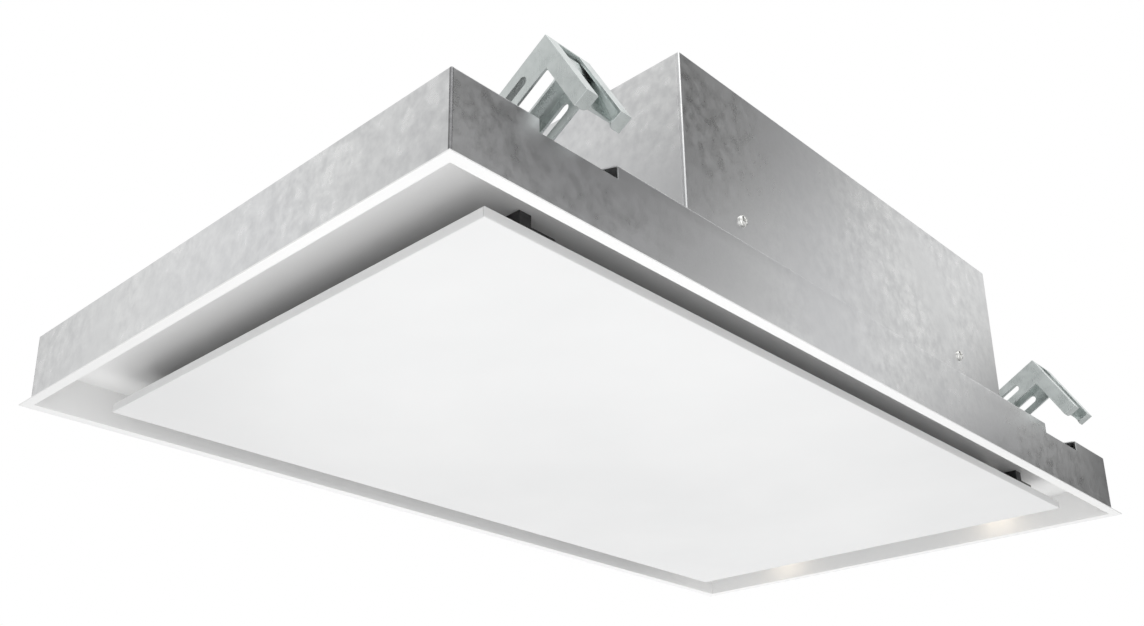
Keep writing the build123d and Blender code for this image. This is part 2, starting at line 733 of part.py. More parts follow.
    with BuildPart() as clamp_lever:
        with BuildSketch(on_stand(stand, Plane((0, -screw_y, lever_bottom)))):
            Rectangle(lever_hub_x, lever_hub_y)
        extrude(amount=recess_roof - lever_gap - lever_bottom)
        with BuildSketch(on_stand(stand, Plane((0, -screw_y, lever_bottom)))):
            with Locations((0, -lever_hub_y / 2)):
                Rectangle(lever_arm, lever_arm_width, align=(Align.MIN, Align.MIN))
        extrude(amount=lever_arm_top - lever_bottom)
        tip_x = stand.from_local_coords((lever_arm, 0, 0)).X
        tips = clamp_lever.edges().filter_by(Axis.Z).filter_by(lambda e: abs(e.center().X - tip_x) < 0.1)
        fillet(tips, lever_corner)
        with BuildSketch(on_stand(stand, Plane((0, -screw_y, screw_bottom)))):
            Circle(screw_radius + screw_play)
        extrude(amount=recess_roof - screw_bottom, mode=Mode.SUBTRACT)
    clamp_lever.part.label = f"clamp_lever_{name}"
    export_step(clamp_lever.part, f"parts/clamp_lever_{name}.step")

# ---- Clamp seats: heel brackets on the casing, their pins, and the plates under the screws -----
heel_ear_gap = 13.0
heel_ear_sheet = 2.0
heel_base_sheet = 2.0
with BuildPart() as heel_brackets:
    for stand in stands.values():
        with BuildSketch(on_stand(stand, Plane((0, heel_y, casing_top)))):
            with Locations((0, 4)):
                Rectangle(2 * (heel_ear_gap + heel_ear_sheet), 24)
        extrude(amount=heel_base_sheet)
        for side in (-1, 1):
            low = side * (heel_ear_gap + heel_ear_sheet / 2) - heel_ear_sheet / 2
            with BuildSketch(on_stand(stand, Plane((low, heel_y, heel_z), x_dir=(0, 1, 0), z_dir=(1, 0, 0)))):
                with Locations((2, (casing_top - heel_z) / 2)):
                    Rectangle(14, heel_z - casing_top)
                Circle(clamp_heel_radius)
                Circle(heel_pin_radius, mode=Mode.SUBTRACT)
            extrude(amount=heel_ear_sheet)
heel_brackets.part.label = "heel_brackets"
export_step(heel_brackets.part, "parts/heel_brackets.step")

with BuildPart() as heel_pins:
    for stand in stands.values():
        for radius, low, high in (
            (heel_pin_radius, -half_width - nut_side_gap, half_width + nut_side_gap),
            (heel_pin_radius + 1.5, half_width + nut_side_gap, half_width + nut_side_gap + 1.5),
            (heel_pin_radius + 1.5, -half_width - nut_side_gap - 1.5, -half_width - nut_side_gap),
        ):
            with BuildSketch(on_stand(stand, Plane((low, heel_y, heel_z), x_dir=(0, 1, 0), z_dir=(1, 0, 0)))):
                Circle(radius)
            extrude(amount=high - low)
heel_pins.part.label = "heel_pins"
export_step(heel_pins.part, "parts/heel_pins.step")

with BuildPart() as clamp_base_plates:
    with BuildSketch(Plane.XY.offset(roof_top)):
        with Locations(*screw_spots):
            Rectangle(base_plate, base_plate / 2)
            Circle(screw_hole, mode=Mode.SUBTRACT)
    extrude(amount=base_plate_sheet)
clamp_base_plates.part.label = "clamp_base_plates"
export_step(clamp_base_plates.part, "parts/clamp_base_plates.step")


# ---- Blower scroll: plastic spiral housing, open at the top, with the chamber under the outlet --
outlet_right = blower_x + scroll_end
outlet_end = outlet_y + outlet_length / 2
tongue_x = blower_x + scroll_start * cos(radians(scroll_tongue))


def scroll_points(wall):
    """Points of the spiral, whose radius grows evenly from the tongue to the outlet."""
    first = degrees(acos((tongue_x - wall - blower_x) / (scroll_start + wall)))
    steps = 12
    points = []
    for step in range(steps + 1):
        angle = first + (360 - first) * step / steps
        radius = scroll_start + (scroll_end - scroll_start) * step / steps + wall
        points.append((blower_x + radius * cos(radians(angle)), blower_y + radius * sin(radians(angle))))
    return points


def scroll_outline(wall):
    """Closed outline of the scroll and its outlet chamber, that far outside the air space."""
    points = scroll_points(wall)
    Spline(*points)
    Polyline(
        points[-1],
        (outlet_right + wall, outlet_end + wall),
        (points[0][0], outlet_end + wall),
        points[0],
    )


with BuildPart() as blower_scroll:
    with BuildSketch(Plane.XY.offset(casing_top)):
        with BuildLine():
            scroll_outline(scroll_wall)
        make_face()
    extrude(amount=scroll_top - casing_top)
    with BuildSketch(Plane.XY.offset(casing_top + scroll_wall)):
        with BuildLine():
            scroll_outline(0)
        make_face()
    extrude(amount=scroll_top - casing_top, mode=Mode.SUBTRACT)
    with BuildSketch(Plane.XY.offset(casing_top)):
        with Locations(blower):
            Circle(inlet_hole)
    extrude(amount=scroll_wall, mode=Mode.SUBTRACT)
blower_scroll.part.label = "blower_scroll"
export_step(blower_scroll.part, "parts/blower_scroll.step")

lid_top = scroll_top + lid_sheet
with BuildPart() as scroll_lid:
    with BuildSketch(Plane.XY.offset(scroll_top)):
        with BuildLine():
            scroll_outline(scroll_wall)
        make_face()
    extrude(amount=lid_sheet)
    with BuildSketch(Plane.XY.offset(lid_top)):
        with Locations(outlet):
            Circle(riser_radius)
    extrude(amount=box_top - box_sheet - 0.3 - lid_top)
    with BuildSketch(Plane.XY.offset(scroll_top)):
        with Locations(outlet):
            Circle(riser_radius - riser_wall)
        with Locations(blower):
            Circle(motor_radius + 5)
    extrude(amount=box_top - scroll_top, mode=Mode.SUBTRACT)
scroll_lid.part.label = "scroll_lid"
export_step(scroll_lid.part, "parts/scroll_lid.step")

# ---- Inlet ring: the bell mouth that guides air into the impeller ------------------------------
ring_base = casing_top + scroll_wall
axis_plane = Plane((blower_x, blower_y, 0), x_dir=(1, 0, 0), z_dir=(0, -1, 0))
blower_axis = Axis((blower_x, blower_y, 0), (0, 0, 1))
with BuildPart() as inlet_ring:
    with BuildSketch(axis_plane):
        with BuildLine():
            outer_throat = inlet_throat + inlet_wall
            Polyline(
                (inlet_hole, ring_base),
                (inlet_flange, ring_base),
                (inlet_flange, ring_base + inlet_wall),
                (inlet_hole + inlet_wall, ring_base + inlet_wall),
            )
            ThreePointArc(
                (inlet_hole + inlet_wall, ring_base + inlet_wall),
                (outer_throat + 2, ring_base + inlet_height / 2 - 1),
                (outer_throat, ring_base + inlet_height),
            )
            Line((outer_throat, ring_base + inlet_height), (inlet_throat, ring_base + inlet_height))
            ThreePointArc(
                (inlet_throat, ring_base + inlet_height),
                (inlet_throat + 2, ring_base + inlet_height / 2 - 2),
                (inlet_hole, ring_base),
            )
        make_face()
    revolve(axis=blower_axis)
inlet_ring.part.label = "inlet_ring"
export_step(inlet_ring.part, "parts/inlet_ring.step")

# ---- Impeller: drum of forward-curved blades round a cup that holds the motor ------------------
cup_radius = motor_radius + cup_gap
cup_bottom = motor_bottom - 3
with BuildPart() as impeller:
    with BuildSketch(axis_plane):
        Polygon(
            (shaft_radius + shaft_play, impeller_bottom + 2),
            (hub_radius, impeller_bottom + 2),
            (hub_radius, cup_bottom - impeller_plate),
            (cup_radius + impeller_plate, cup_bottom - impeller_plate),
            (cup_radius + impeller_plate, impeller_top - impeller_plate),
            (impeller_radius, impeller_top - impeller_plate),
            (impeller_radius, impeller_top),
            (cup_radius, impeller_top),
            (cup_radius, cup_bottom),
            (shaft_radius + shaft_play, cup_bottom),
            align=None,
        )
    revolve(axis=blower_axis)
    with BuildSketch(Plane((blower_x, blower_y, impeller_bottom))):
        Circle(impeller_radius)
        Circle(impeller_inner, mode=Mode.SUBTRACT)
    extrude(amount=impeller_plate)
    with BuildSketch(Plane((blower_x, blower_y, impeller_bottom + impeller_plate))):
        with PolarLocations((impeller_radius + impeller_inner) / 2, blade_count):
            with Locations((0, -blade_curve)):
                SlotArc(CenterArc((0, 0), blade_curve, 45, 90), blade_sheet)
    extrude(amount=impeller_top - 2 * impeller_plate - impeller_bottom)
impeller.part.label = "impeller"
export_step(impeller.part, "parts/impeller.step")

# ---- Motor: can with two ball bearings, shaft, bracket on rubber grommets, and its screws ------
with BuildPart() as motor:
    with BuildSketch(Plane((blower_x, blower_y, motor_bottom))):
        Circle(motor_radius)
    extrude(amount=motor_top - motor_bottom)
    fillet(motor.faces().sort_by(Axis.Z)[0].edges(), 4)
    with BuildSketch(Plane((blower_x, blower_y, motor_bottom))):
        Circle(motor_bore)
    extrude(amount=motor_top - motor_bottom, mode=Mode.SUBTRACT)
    with BuildSketch(Plane((blower_x, blower_y, motor_bottom))):
        Circle(bearing_radius)
    extrude(amount=bearing_height, mode=Mode.SUBTRACT)
    with BuildSketch(Plane((blower_x, blower_y, motor_top))):
        Circle(bearing_radius)
    extrude(amount=-bearing_height, mode=Mode.SUBTRACT)
    with BuildSketch(Plane((blower_x, blower_y, motor_top))):
        with PolarLocations(motor_screw_ring, 3, start_angle=90):
            Circle(motor_screw_radius + 0.1)
    extrude(amount=-12, mode=Mode.SUBTRACT)
motor.part.label = "motor"
export_step(motor.part, "parts/motor.step")

with BuildPart() as motor_bearings:
    for low in (motor_bottom, motor_top - bearing_height):
        with BuildSketch(Plane((blower_x, blower_y, low))):
            Circle(bearing_radius - shaft_play)
            Circle(shaft_radius + shaft_play, mode=Mode.SUBTRACT)
        extrude(amount=bearing_height)
motor_bearings.part.label = "motor_bearings"
export_step(motor_bearings.part, "parts/motor_bearings.step")

with BuildPart() as motor_shaft:
    with BuildSketch(Plane((blower_x, blower_y, impeller_bottom + 2))):
        Circle(shaft_radius)
    extrude(amount=motor_top - 1 - impeller_bottom - 2)
motor_shaft.part.label = "motor_shaft"
export_step(motor_shaft.part, "parts/motor_shaft.step")

with BuildPart() as motor_bracket:
    with BuildSketch(Plane((blower_x, blower_y, motor_top))):
        Circle(bracket_radius)
        with PolarLocations(motor_radius - 2, 6, start_angle=0):
            SlotOverall(2 * bracket_window, bracket_window, rotation=90, mode=Mode.SUBTRACT)
        with PolarLocations(motor_screw_ring, 3, start_angle=90):
            Circle(motor_screw_radius + 0.1, mode=Mode.SUBTRACT)
    extrude(amount=bracket_sheet)
motor_bracket.part.label = "motor_bracket"
export_step(motor_bracket.part, "parts/motor_bracket.step")

with BuildPart() as motor_grommets:
    with BuildSketch(Plane((blower_x, blower_y, lid_top))):
        with PolarLocations(grommet_ring, 3, start_angle=30):
            Circle(grommet_radius)
    extrude(amount=motor_top - lid_top)
motor_grommets.part.label = "motor_grommets"
export_step(motor_grommets.part, "parts/motor_grommets.step")

with BuildPart() as motor_screws:
    with BuildSketch(Plane((blower_x, blower_y, motor_top + bracket_sheet))):
        with PolarLocations(motor_screw_ring, 3, start_angle=90):
            Circle(motor_screw_head)
    extrude(amount=2.5)
    with BuildSketch(Plane((blower_x, blower_y, motor_top + bracket_sheet))):
        with PolarLocations(motor_screw_ring, 3, start_angle=90):
            Circle(motor_screw_radius)
    extrude(amount=-bracket_sheet - 10)
motor_screws.part.label = "motor_screws"
export_step(motor_screws.part, "parts/motor_screws.step")

# ---- Duct collar: stepped plastic spigot, screwed on the box over its outlet hole --------------
flange_top = box_top + collar_flange_height
ledge_top = flange_top + collar_ledge_height
collar_plane = Plane((outlet_x, outlet_y, 0), x_dir=(1, 0, 0), z_dir=(0, -1, 0))
outlet_axis = Axis((outlet_x, outlet_y, 0), (0, 0, 1))
flap_bottom = ledge_top + flap_gap
pin_z = flap_bottom + flap_sheet / 2 + knuckle_radius - flap_sheet / 2
with BuildPart() as duct_collar:
    with BuildSketch(collar_plane):
        inner_radius = collar_radius - collar_wall
        small_inner = collar_small_radius - collar_wall
        Polygon(
            (inner_radius - collar_ledge, box_top),
            (collar_flange, box_top),
            (collar_flange, flange_top),
            (collar_radius, flange_top),
            (collar_radius, collar_step),
            (collar_small_radius, collar_step_end),
            (collar_small_radius, collar_top),
            (small_inner, collar_top),
            (small_inner, collar_step_end),
            (inner_radius, collar_step),
            (inner_radius, ledge_top),
            (inner_radius - collar_ledge, ledge_top),
            align=None,
        )
    revolve(axis=outlet_axis)
    with BuildSketch(Plane((outlet_x, outlet_y, box_top))):
        with PolarLocations(collar_screw_ring, 4, start_angle=45):
            Circle(collar_screw_radius + 0.1)
    extrude(amount=collar_flange_height, mode=Mode.SUBTRACT)
    with BuildSketch(Plane((outlet_x - collar_radius, outlet_y, pin_z), x_dir=(0, 1, 0), z_dir=(1, 0, 0))):
        Circle(flap_pin_radius + flap_pin_play)
    extrude(amount=2 * collar_radius, mode=Mode.SUBTRACT)
duct_collar.part.label = "duct_collar"
export_step(duct_collar.part, "parts/duct_collar.step")

with BuildPart() as collar_screws:
    with BuildSketch(Plane((outlet_x, outlet_y, flange_top))):
        with PolarLocations(collar_screw_ring, 4, start_angle=45):
            Circle(collar_screw_head)
    extrude(amount=2.4)
    fillet(collar_screws.faces().sort_by(Axis.Z)[-4:].edges(), 1.0)
    with BuildSketch(Plane((outlet_x, outlet_y, flange_top))):
        with PolarLocations(collar_screw_ring, 4, start_angle=45):
            Circle(collar_screw_radius)
    extrude(amount=-collar_flange_height - box_sheet - 5)
collar_screws.part.label = "collar_screws"
export_step(collar_screws.part, "parts/collar_screws.step")

# ---- Non-return flaps: two half discs that hang on one pin and lie on the collar's ledge -------
with BuildPart() as flap_pin:
    with BuildSketch(Plane((outlet_x - collar_radius, outlet_y, pin_z), x_dir=(0, 1, 0), z_dir=(1, 0, 0))):
        Circle(flap_pin_radius)
    extrude(amount=2 * collar_radius)
flap_pin.part.label = "flap_pin"
export_step(flap_pin.part, "parts/flap_pin.step")

for name, side in (("front", -1), ("rear", 1)):
    with BuildPart() as flap:
        with BuildSketch(Plane((outlet_x, outlet_y, flap_bottom))):
            Circle(flap_radius)
            with Locations((0, -side * flap_radius)):
                Rectangle(2 * flap_radius, 2 * (flap_radius + flap_split), mode=Mode.SUBTRACT)
        extrude(amount=flap_sheet)
        for end in (-1, 1):
            middle = outlet_x + (end * 2 + side) * (knuckle_length + knuckle_gap) / 2
            low = middle - knuckle_length / 2
            with BuildSketch(Plane((low, outlet_y, pin_z), x_dir=(0, 1, 0), z_dir=(1, 0, 0))):
                Circle(knuckle_radius)
                with Locations((side * (flap_split + 2) / 2, -knuckle_radius + flap_sheet / 2)):
                    Rectangle(flap_split + 2, flap_sheet)
                Circle(flap_pin_radius + flap_play, mode=Mode.SUBTRACT)
            extrude(amount=knuckle_length)
    flap.part.label = f"flap_{name}"
    export_step(flap.part, f"parts/flap_{name}.step")

# ---- Control box: plastic tray and lid on the casing, circuit board and terminals --------------
lid_bottom = casing_top + control_height - control_wall
with BuildPart() as control_box:
    with BuildSketch(Plane((control_x, control_y, casing_top))):
        RectangleRounded(control_length, control_width, 4)
    extrude(amount=control_height - control_wall)
    with BuildSketch(Plane((control_x, control_y, casing_top + control_wall))):
        RectangleRounded(control_length - 2 * control_wall, control_width - 2 * control_wall, 2)
    extrude(amount=control_height, mode=Mode.SUBTRACT)
    with BuildSketch(Plane((control_x, control_y, casing_top + control_wall))):
        with GridLocations(control_length - 30, control_width - 30, 2, 2):
            Circle(4)
    extrude(amount=board_height - control_wall)
control_box.part.label = "control_box"
export_step(control_box.part, "parts/control_box.step")

with BuildPart() as control_box_lid:
    with BuildSketch(Plane((control_x, control_y, lid_bottom))):
        RectangleRounded(control_length, control_width, 4)
    extrude(amount=control_wall)
    fillet(control_box_lid.faces().sort_by(Axis.Z)[-1].edges(), 1.5)
control_box_lid.part.label = "control_box_lid"
export_step(control_box_lid.part, "parts/control_box_lid.step")

board_bottom = casing_top + board_height
with BuildPart() as control_board:
    with BuildSketch(Plane((control_x, control_y, board_bottom))):
        Rectangle(
            control_length - 2 * (control_wall + board_play),
            control_width - 2 * (control_wall + board_play),
        )
    extrude(amount=board_sheet)
    with BuildSketch(Plane((control_x, control_y, board_bottom + board_sheet))):
        with Locations((-36, 22)):
            Rectangle(34, 28)
        with Locations((20, 25)):
            Rectangle(20, 16)
        with Locations((44, -22)):
            Circle(8)
        with GridLocations(26, 12, 3, 1):
            with Locations((-14, -26)):
                Rectangle(16, 12)
    extrude(amount=board_parts)
control_board.part.label = "control_board"
export_step(control_board.part, "parts/control_board.step")

with BuildPart() as terminal_block:
    terminal_x = control_x
    terminal_y = control_y - control_width / 2 - terminal_width / 2 - 4
    with BuildSketch(Plane((terminal_x, terminal_y, casing_top))):
        Rectangle(terminal_length, terminal_width)
    extrude(amount=terminal_height)
    with BuildSketch(Plane((terminal_x, terminal_y, casing_top + terminal_height))):
        with GridLocations(terminal_length / 4, 1, 4, 1):
            Circle(3)
    extrude(amount=-9, mode=Mode.SUBTRACT)
terminal_block.part.label = "terminal_block"
export_step(terminal_block.part, "parts/terminal_block.step")

# ---- Cable gland: the mains inlet in the rear wall of the blower box ---------------------------
gland_plane = Plane((gland_x, box_width / 2, gland_z), x_dir=(-1, 0, 0), z_dir=(0, 1, 0))
with BuildPart() as cable_gland:
    with BuildSketch(gland_plane.offset(-box_sheet - gland_nut)):
        Circle(gland_thread)
    extrude(amount=box_sheet + gland_nut)
    with BuildSketch(gland_plane):
        RegularPolygon(gland_hex, 6)
    extrude(amount=gland_nut)
    with BuildSketch(gland_plane.offset(gland_nut)):
        Circle(gland_hex - 2)
    extrude(amount=gland_reach - gland_nut, taper=10)
    with BuildSketch(gland_plane.offset(-box_sheet)):
        RegularPolygon(gland_hex, 6)
    extrude(amount=-gland_nut)
    with BuildSketch(gland_plane.offset(gland_reach + 1)):
        Circle(gland_bore)
    extrude(amount=-gland_reach - box_sheet - gland_nut - 2, mode=Mode.SUBTRACT)
cable_gland.part.label = "cable_gland"
export_step(cable_gland.part, "parts/cable_gland.step")
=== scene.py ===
import json
from math import cos, pi, radians, sin

import bmesh
import bpy
import numpy as np
from mathutils import Matrix, Vector

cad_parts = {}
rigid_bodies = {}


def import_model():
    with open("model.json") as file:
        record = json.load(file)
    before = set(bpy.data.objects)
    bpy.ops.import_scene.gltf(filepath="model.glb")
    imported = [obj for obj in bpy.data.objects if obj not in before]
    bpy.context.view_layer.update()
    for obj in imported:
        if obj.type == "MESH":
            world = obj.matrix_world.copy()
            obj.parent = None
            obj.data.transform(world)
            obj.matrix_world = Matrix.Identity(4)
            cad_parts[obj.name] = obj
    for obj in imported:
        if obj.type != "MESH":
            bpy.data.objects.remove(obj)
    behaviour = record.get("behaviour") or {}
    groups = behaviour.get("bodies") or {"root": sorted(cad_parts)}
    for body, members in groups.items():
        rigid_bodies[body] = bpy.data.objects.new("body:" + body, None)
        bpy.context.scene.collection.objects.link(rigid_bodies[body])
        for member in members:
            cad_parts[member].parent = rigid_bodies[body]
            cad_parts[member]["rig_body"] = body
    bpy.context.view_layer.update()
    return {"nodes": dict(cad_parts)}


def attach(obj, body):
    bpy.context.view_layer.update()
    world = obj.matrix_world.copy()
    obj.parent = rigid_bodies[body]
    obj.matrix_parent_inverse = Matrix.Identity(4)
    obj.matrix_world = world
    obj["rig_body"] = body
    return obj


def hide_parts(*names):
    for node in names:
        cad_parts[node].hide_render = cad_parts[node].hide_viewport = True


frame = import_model()

# ---- Trim frame and bottom panel ------------------------------------------------------------
# Folded sheet steel under a semi-gloss white powder coat. The rim, the upstand and the roof of
# the recess are one sheet; the panel is a tray whose corners are butted and left unwelded.


def add(mat, kind, inputs, **properties):
    """A new shader node, and its first output. Each input is a value or another node's output."""
    made = mat.node_tree.nodes.new("ShaderNode" + kind)
    for key, value in properties.items():
        setattr(made, key, value)
    for key, value in inputs.items():
        if isinstance(value, bpy.types.NodeSocket):
            mat.node_tree.links.new(value, made.inputs[key])
        else:
            made.inputs[key].default_value = value
    return made.outputs[0]


def new_material(name, metallic, specular=0.5, coat=0.0):
    """A Principled material with its constant values set."""
    mat = bpy.data.materials.new(name)
    mat.use_nodes = True
    shader = mat.node_tree.nodes["Principled BSDF"]
    shader.inputs["Metallic"].default_value = metallic
    shader.inputs["Specular IOR Level"].default_value = specular
    shader.inputs["Coat Weight"].default_value = coat
    shader.inputs["Coat Roughness"].default_value = 0.15
    return mat


def wire(mat, inputs):
    """Links each named input of the material's Principled shader."""
    shader = mat.node_tree.nodes["Principled BSDF"]
    for key, value in inputs.items():
        mat.node_tree.links.new(value, shader.inputs[key])


def place(mat, stretch=(1, 1, 1)):
    """Object coordinates in metres, shrunk along each axis by one over its stretch."""
    coords = mat.node_tree.nodes.new("ShaderNodeTexCoord").outputs["Object"]
    return add(mat, "Mapping", {"Vector": coords, "Scale": tuple(1 / s for s in stretch)})


def noise(mat, size, detail=2.0, stretch=(1, 1, 1)):
    """Cloudy noise whose features are about that size, in metres."""
    return add(mat, "TexNoise", {"Vector": place(mat, stretch), "Scale": 1 / size, "Detail": detail})


def cells(mat, size, stretch=(1, 1, 1)):
    """A random level for each cell of a Voronoi pattern whose cells are that size."""
    vector = place(mat, stretch)
    inputs = {"Vector": vector, "Scale": 1 / size}
    colour = add(mat, "TexVoronoi", inputs).node.outputs["Color"]
    return add(mat, "SeparateColor", {"Color": colour})


def spread(mat, level, low, high, start=0.3, end=0.7):
    """The level, carried from start..end to low..high and held there."""
    inputs = {"Value": level, "From Min": start, "From Max": end, "To Min": low, "To Max": high}
    return add(mat, "MapRange", inputs)


def tint(mat, level, low, high, start=0.3, end=0.7):
    """A colour between low and high, as the level goes from start to end."""
    ramp = add(mat, "ValToRGB", {"Fac": level})
    first, last = ramp.node.color_ramp.elements
    first.position, last.position = start, end
    first.color, last.color = (*low, 1), (*high, 1)
    return ramp


def calc(mat, operation, a, b):
    """One sum of two levels."""
    return add(mat, "Math", {0: a, 1: b}, operation=operation)


def blend(mat, level, a, b):
    """Colour a where the level is 0 and colour b where it is 1."""
    return add(mat, "MixRGB", {"Fac": level, "Color1": a, "Color2": b})


def relief(mat, height, depth, under=None):
    """The normal of a surface that rises by depth metres where the height is 1."""
    inputs = {"Height": height, "Distance": depth, "Strength": 1.0}
    if under is not None:
        inputs["Normal"] = under
    return add(mat, "Bump", inputs)


def powder_coat(name, colour, shade):
    """White paint: fine orange peel, and broad cloudy areas that are a little greyer and duller."""
    mat = new_material(name, 0.0, coat=0.12)
    broad = noise(mat, 0.19, 3)
    cloud = noise(mat, 0.05, 2)
    grain = noise(mat, 0.0016, 0)
    base = tint(mat, broad, shade, colour, 0.3, 0.7)
    rough = calc(mat, "ADD", spread(mat, cloud, 0.30, 0.36), spread(mat, grain, 0.0, 0.03))
    peel = relief(mat, noise(mat, 0.0022, 1), 0.000008)
    wavy = relief(mat, noise(mat, 0.12, 0), 0.00008, peel)
    wire(mat, {"Base Color": base, "Roughness": rough, "Normal": wavy})
    return mat


def shown(piece, body, nodes=()):
    """Links the piece, lets it ride on its body, and hides the CAD nodes that it stands for."""
    bpy.context.scene.collection.objects.link(piece)
    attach(piece, body)
    if nodes:
        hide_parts(*nodes)
    return piece


def smooth(data, angle=30):
    """Smooth faces, with a sharp edge wherever two faces meet at more than the angle."""
    data.polygons.foreach_set("use_smooth", np.ones(len(data.polygons), bool))
    data.set_sharp_from_angle(angle=radians(angle))
    data.update()


def rounded(piece, width, segments=2, angle=30):
    """Rounds the piece's sharp edges, which then catch the light."""
    bevel = piece.modifiers.new("edges", "BEVEL")
    bevel.width = width
    bevel.segments = segments
    bevel.limit_method = "ANGLE"
    bevel.angle_limit = radians(angle)
    bevel.harden_normals = True
    return bevel


def skin(node, mat, edge, segments=2):
    """A merged copy of a CAD node, with its flat faces joined and its edges rounded by edge."""
    source = frame["nodes"][node]
    work = bmesh.new()
    work.from_mesh(source.data)
    bmesh.ops.remove_doubles(work, verts=work.verts, dist=2e-6)
    bmesh.ops.dissolve_limit(work, angle_limit=0.004, verts=work.verts, edges=work.edges)
    data = bpy.data.meshes.new(node + "_skin")
    work.to_mesh(data)
    work.free()
    for spare in ("custom_normal", "sharp_edge", "sharp_face"):
        if spare in data.attributes:
            data.attributes.remove(data.attributes[spare])
    smooth(data)
    data.materials.clear()
    data.materials.append(mat)
    piece = bpy.data.objects.new(node + "_skin", data)
    if edge:
        rounded(piece, edge, segments)
    return shown(piece, source["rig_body"], [node])


trim_paint = powder_coat("trim_paint", (0.90, 0.90, 0.895), (0.87, 0.872, 0.87))
# painted shade: the panel takes a darker copy of the same white coat, so that it renders dimmer than the
# rim
panel_paint_shaded = powder_coat("panel_paint_shaded", (0.80, 0.802, 0.802), (0.755, 0.759, 0.761))
skin("trim_frame", trim_paint, 0.00025)
skin("panel", panel_paint_shaded, 0.00025)

# ---- Casing, ring and blower box ------------------------------------------------------------
# Hot-dip galvanised sheet, folded and spot welded. Its zinc is clouded by a soft mottling of 6 to
# 15 mm that is stronger in some areas than in others, over faint upright rolling lines.


def beyond(mat, vector, axis, limit):
    """1 where that coordinate lies further out than the limit on either side, and 0 elsewhere."""
    value = add(mat, "SeparateXYZ", {"Vector": vector}).node.outputs[axis]
    return calc(mat, "GREATER_THAN", calc(mat, "ABSOLUTE", value, 0.0), limit)


def galvanised(name, low, high, dull, fold=None):
    """Zinc whose soft mottling is level = 1/2 + (cloud - 1/2) * strength, with a strength that
    varies slowly over the sheet, and whose gloss follows the same clouds. A painted shade makes
    it dark grey at upright folds, which are the places beyond both of fold's limits in x and y."""
    mat = new_material(name, 1.0)
    cloud = noise(mat, 0.010, 3)
    fleck = noise(mat, 0.0035, 2)
    slow = noise(mat, 0.11, 1)
    broad = noise(mat, 0.24, 1)
    strength = spread(mat, slow, 0.35, 1.5, 0.35, 0.62)
    away = calc(mat, "SUBTRACT", calc(mat, "ADD", cloud, calc(mat, "MULTIPLY", fleck, 0.35)), 0.675)
    level = calc(mat, "ADD", calc(mat, "MULTIPLY", away, strength), 0.5)
    base = tint(mat, level, low, high, 0.25, 0.75)
    shade = tint(mat, broad, (0.95, 0.95, 0.96), (1.0, 1.0, 0.995), 0.35, 0.65)
    base = add(mat, "MixRGB", {"Fac": 1.0, "Color1": base, "Color2": shade}, blend_type="MULTIPLY")
    if fold:
        # painted shade: dark grey where both coordinates lie beyond the fold's limits
        spot = place(mat)
        fold_shade = calc(mat, "MULTIPLY", beyond(mat, spot, "X", fold[0]), beyond(mat, spot, "Y", fold[1]))
        base = blend(mat, fold_shade, base, tint(mat, fleck, (0.20, 0.20, 0.205), (0.26, 0.26, 0.265)))
    rough = spread(mat, level, dull + 0.05, dull - 0.03, 0.25, 0.75)
    rolled = noise(mat, 0.0012, 1, (1, 1, 25))
    normal = relief(mat, rolled, 0.000006)
    normal = relief(mat, level, 0.000012, normal)
    normal = relief(mat, noise(mat, 0.12, 0), 0.0005, normal)
    wire(mat, {"Base Color": base, "Roughness": rough, "Normal": normal})
    return mat


zinc_dark, zinc_light, zinc_dull = (0.63, 0.635, 0.64), (0.74, 0.745, 0.745), 0.30
# painted shade: limits of the dark grey at the casing's four upright folds
casing_fold = (0.4424, 0.2419)
sheet_zinc = galvanised("sheet_zinc", zinc_dark, zinc_light, zinc_dull)
casing_zinc = galvanised("casing_zinc", zinc_dark, zinc_light, zinc_dull, casing_fold)
skin("casing", casing_zinc, 0.0001, 1)
skin("blower_box", sheet_zinc, 0.0002)
skin("box_ring", sheet_zinc, 0.0003)

# ---- Screws of the blower box, the duct collar and the motor ---------------------------------
# Zinc-plated pan-head screws with a cross recess. Each is one turned shape, head and shank, and
# those that fix the same thing are one piece.


def fan(rows, columns):
    """Faces of a surface of rows rings round an axis, the first and last of which are points."""
    ring = np.arange(columns)
    after = np.roll(ring, -1)
    above = 1 + np.arange(rows - 3)[:, None] * columns
    below = above + columns
    sides = np.stack([below + ring, below + after, above + after, above + ring], -1).reshape(-1, 4)
    last = 1 + (rows - 3) * columns
    top = np.stack([1 + ring, 1 + after, 0 * ring], -1)
    bottom = np.stack([last + after, last + ring, 0 * ring + last + columns], -1)
    return top.tolist() + sides.tolist() + bottom.tolist()


def lathe(profile, columns):
    """Points and faces of a profile turned round Z. It starts and ends on the axis, and each
    point between is (r cos t, r sin t, z) at evenly spaced turns t."""
    turn = np.arange(columns) * 2 * pi / columns
    radius, height = profile[1:-1, 0, None], profile[1:-1, 1, None]
    rings = np.stack([radius * np.cos(turn), radius * np.sin(turn), height + 0 * turn], -1)
    first, last = [[0, 0, profile[0, 1]]], [[0, 0, profile[-1, 1]]]
    points = np.concatenate([first, rings.reshape(-1, 3), last])
    return points, fan(len(profile), columns)


def build(name, points, faces, mat, body, slot, nodes=(), angle=30):
    """A piece from its points and faces, which are made to face outwards."""
    data = bpy.data.meshes.new(name)
    data.from_pydata(np.asarray(points).tolist(), [], faces)
    work = bmesh.new()
    work.from_mesh(data)
    bmesh.ops.recalc_face_normals(work, faces=work.faces)
    work.to_mesh(data)
    work.free()
    smooth(data, angle)
    data.materials.append(mat)
    return shown(bpy.data.objects.new(name, data), body, nodes)


def gathered(shapes):
    """Several (points, faces) shapes as one."""
    points, faces, count = [], [], 0
    for some, sides in shapes:
        points.append(some)
        faces += [[i + count for i in side] for side in sides]
        count += len(some)
    return np.concatenate(points), faces


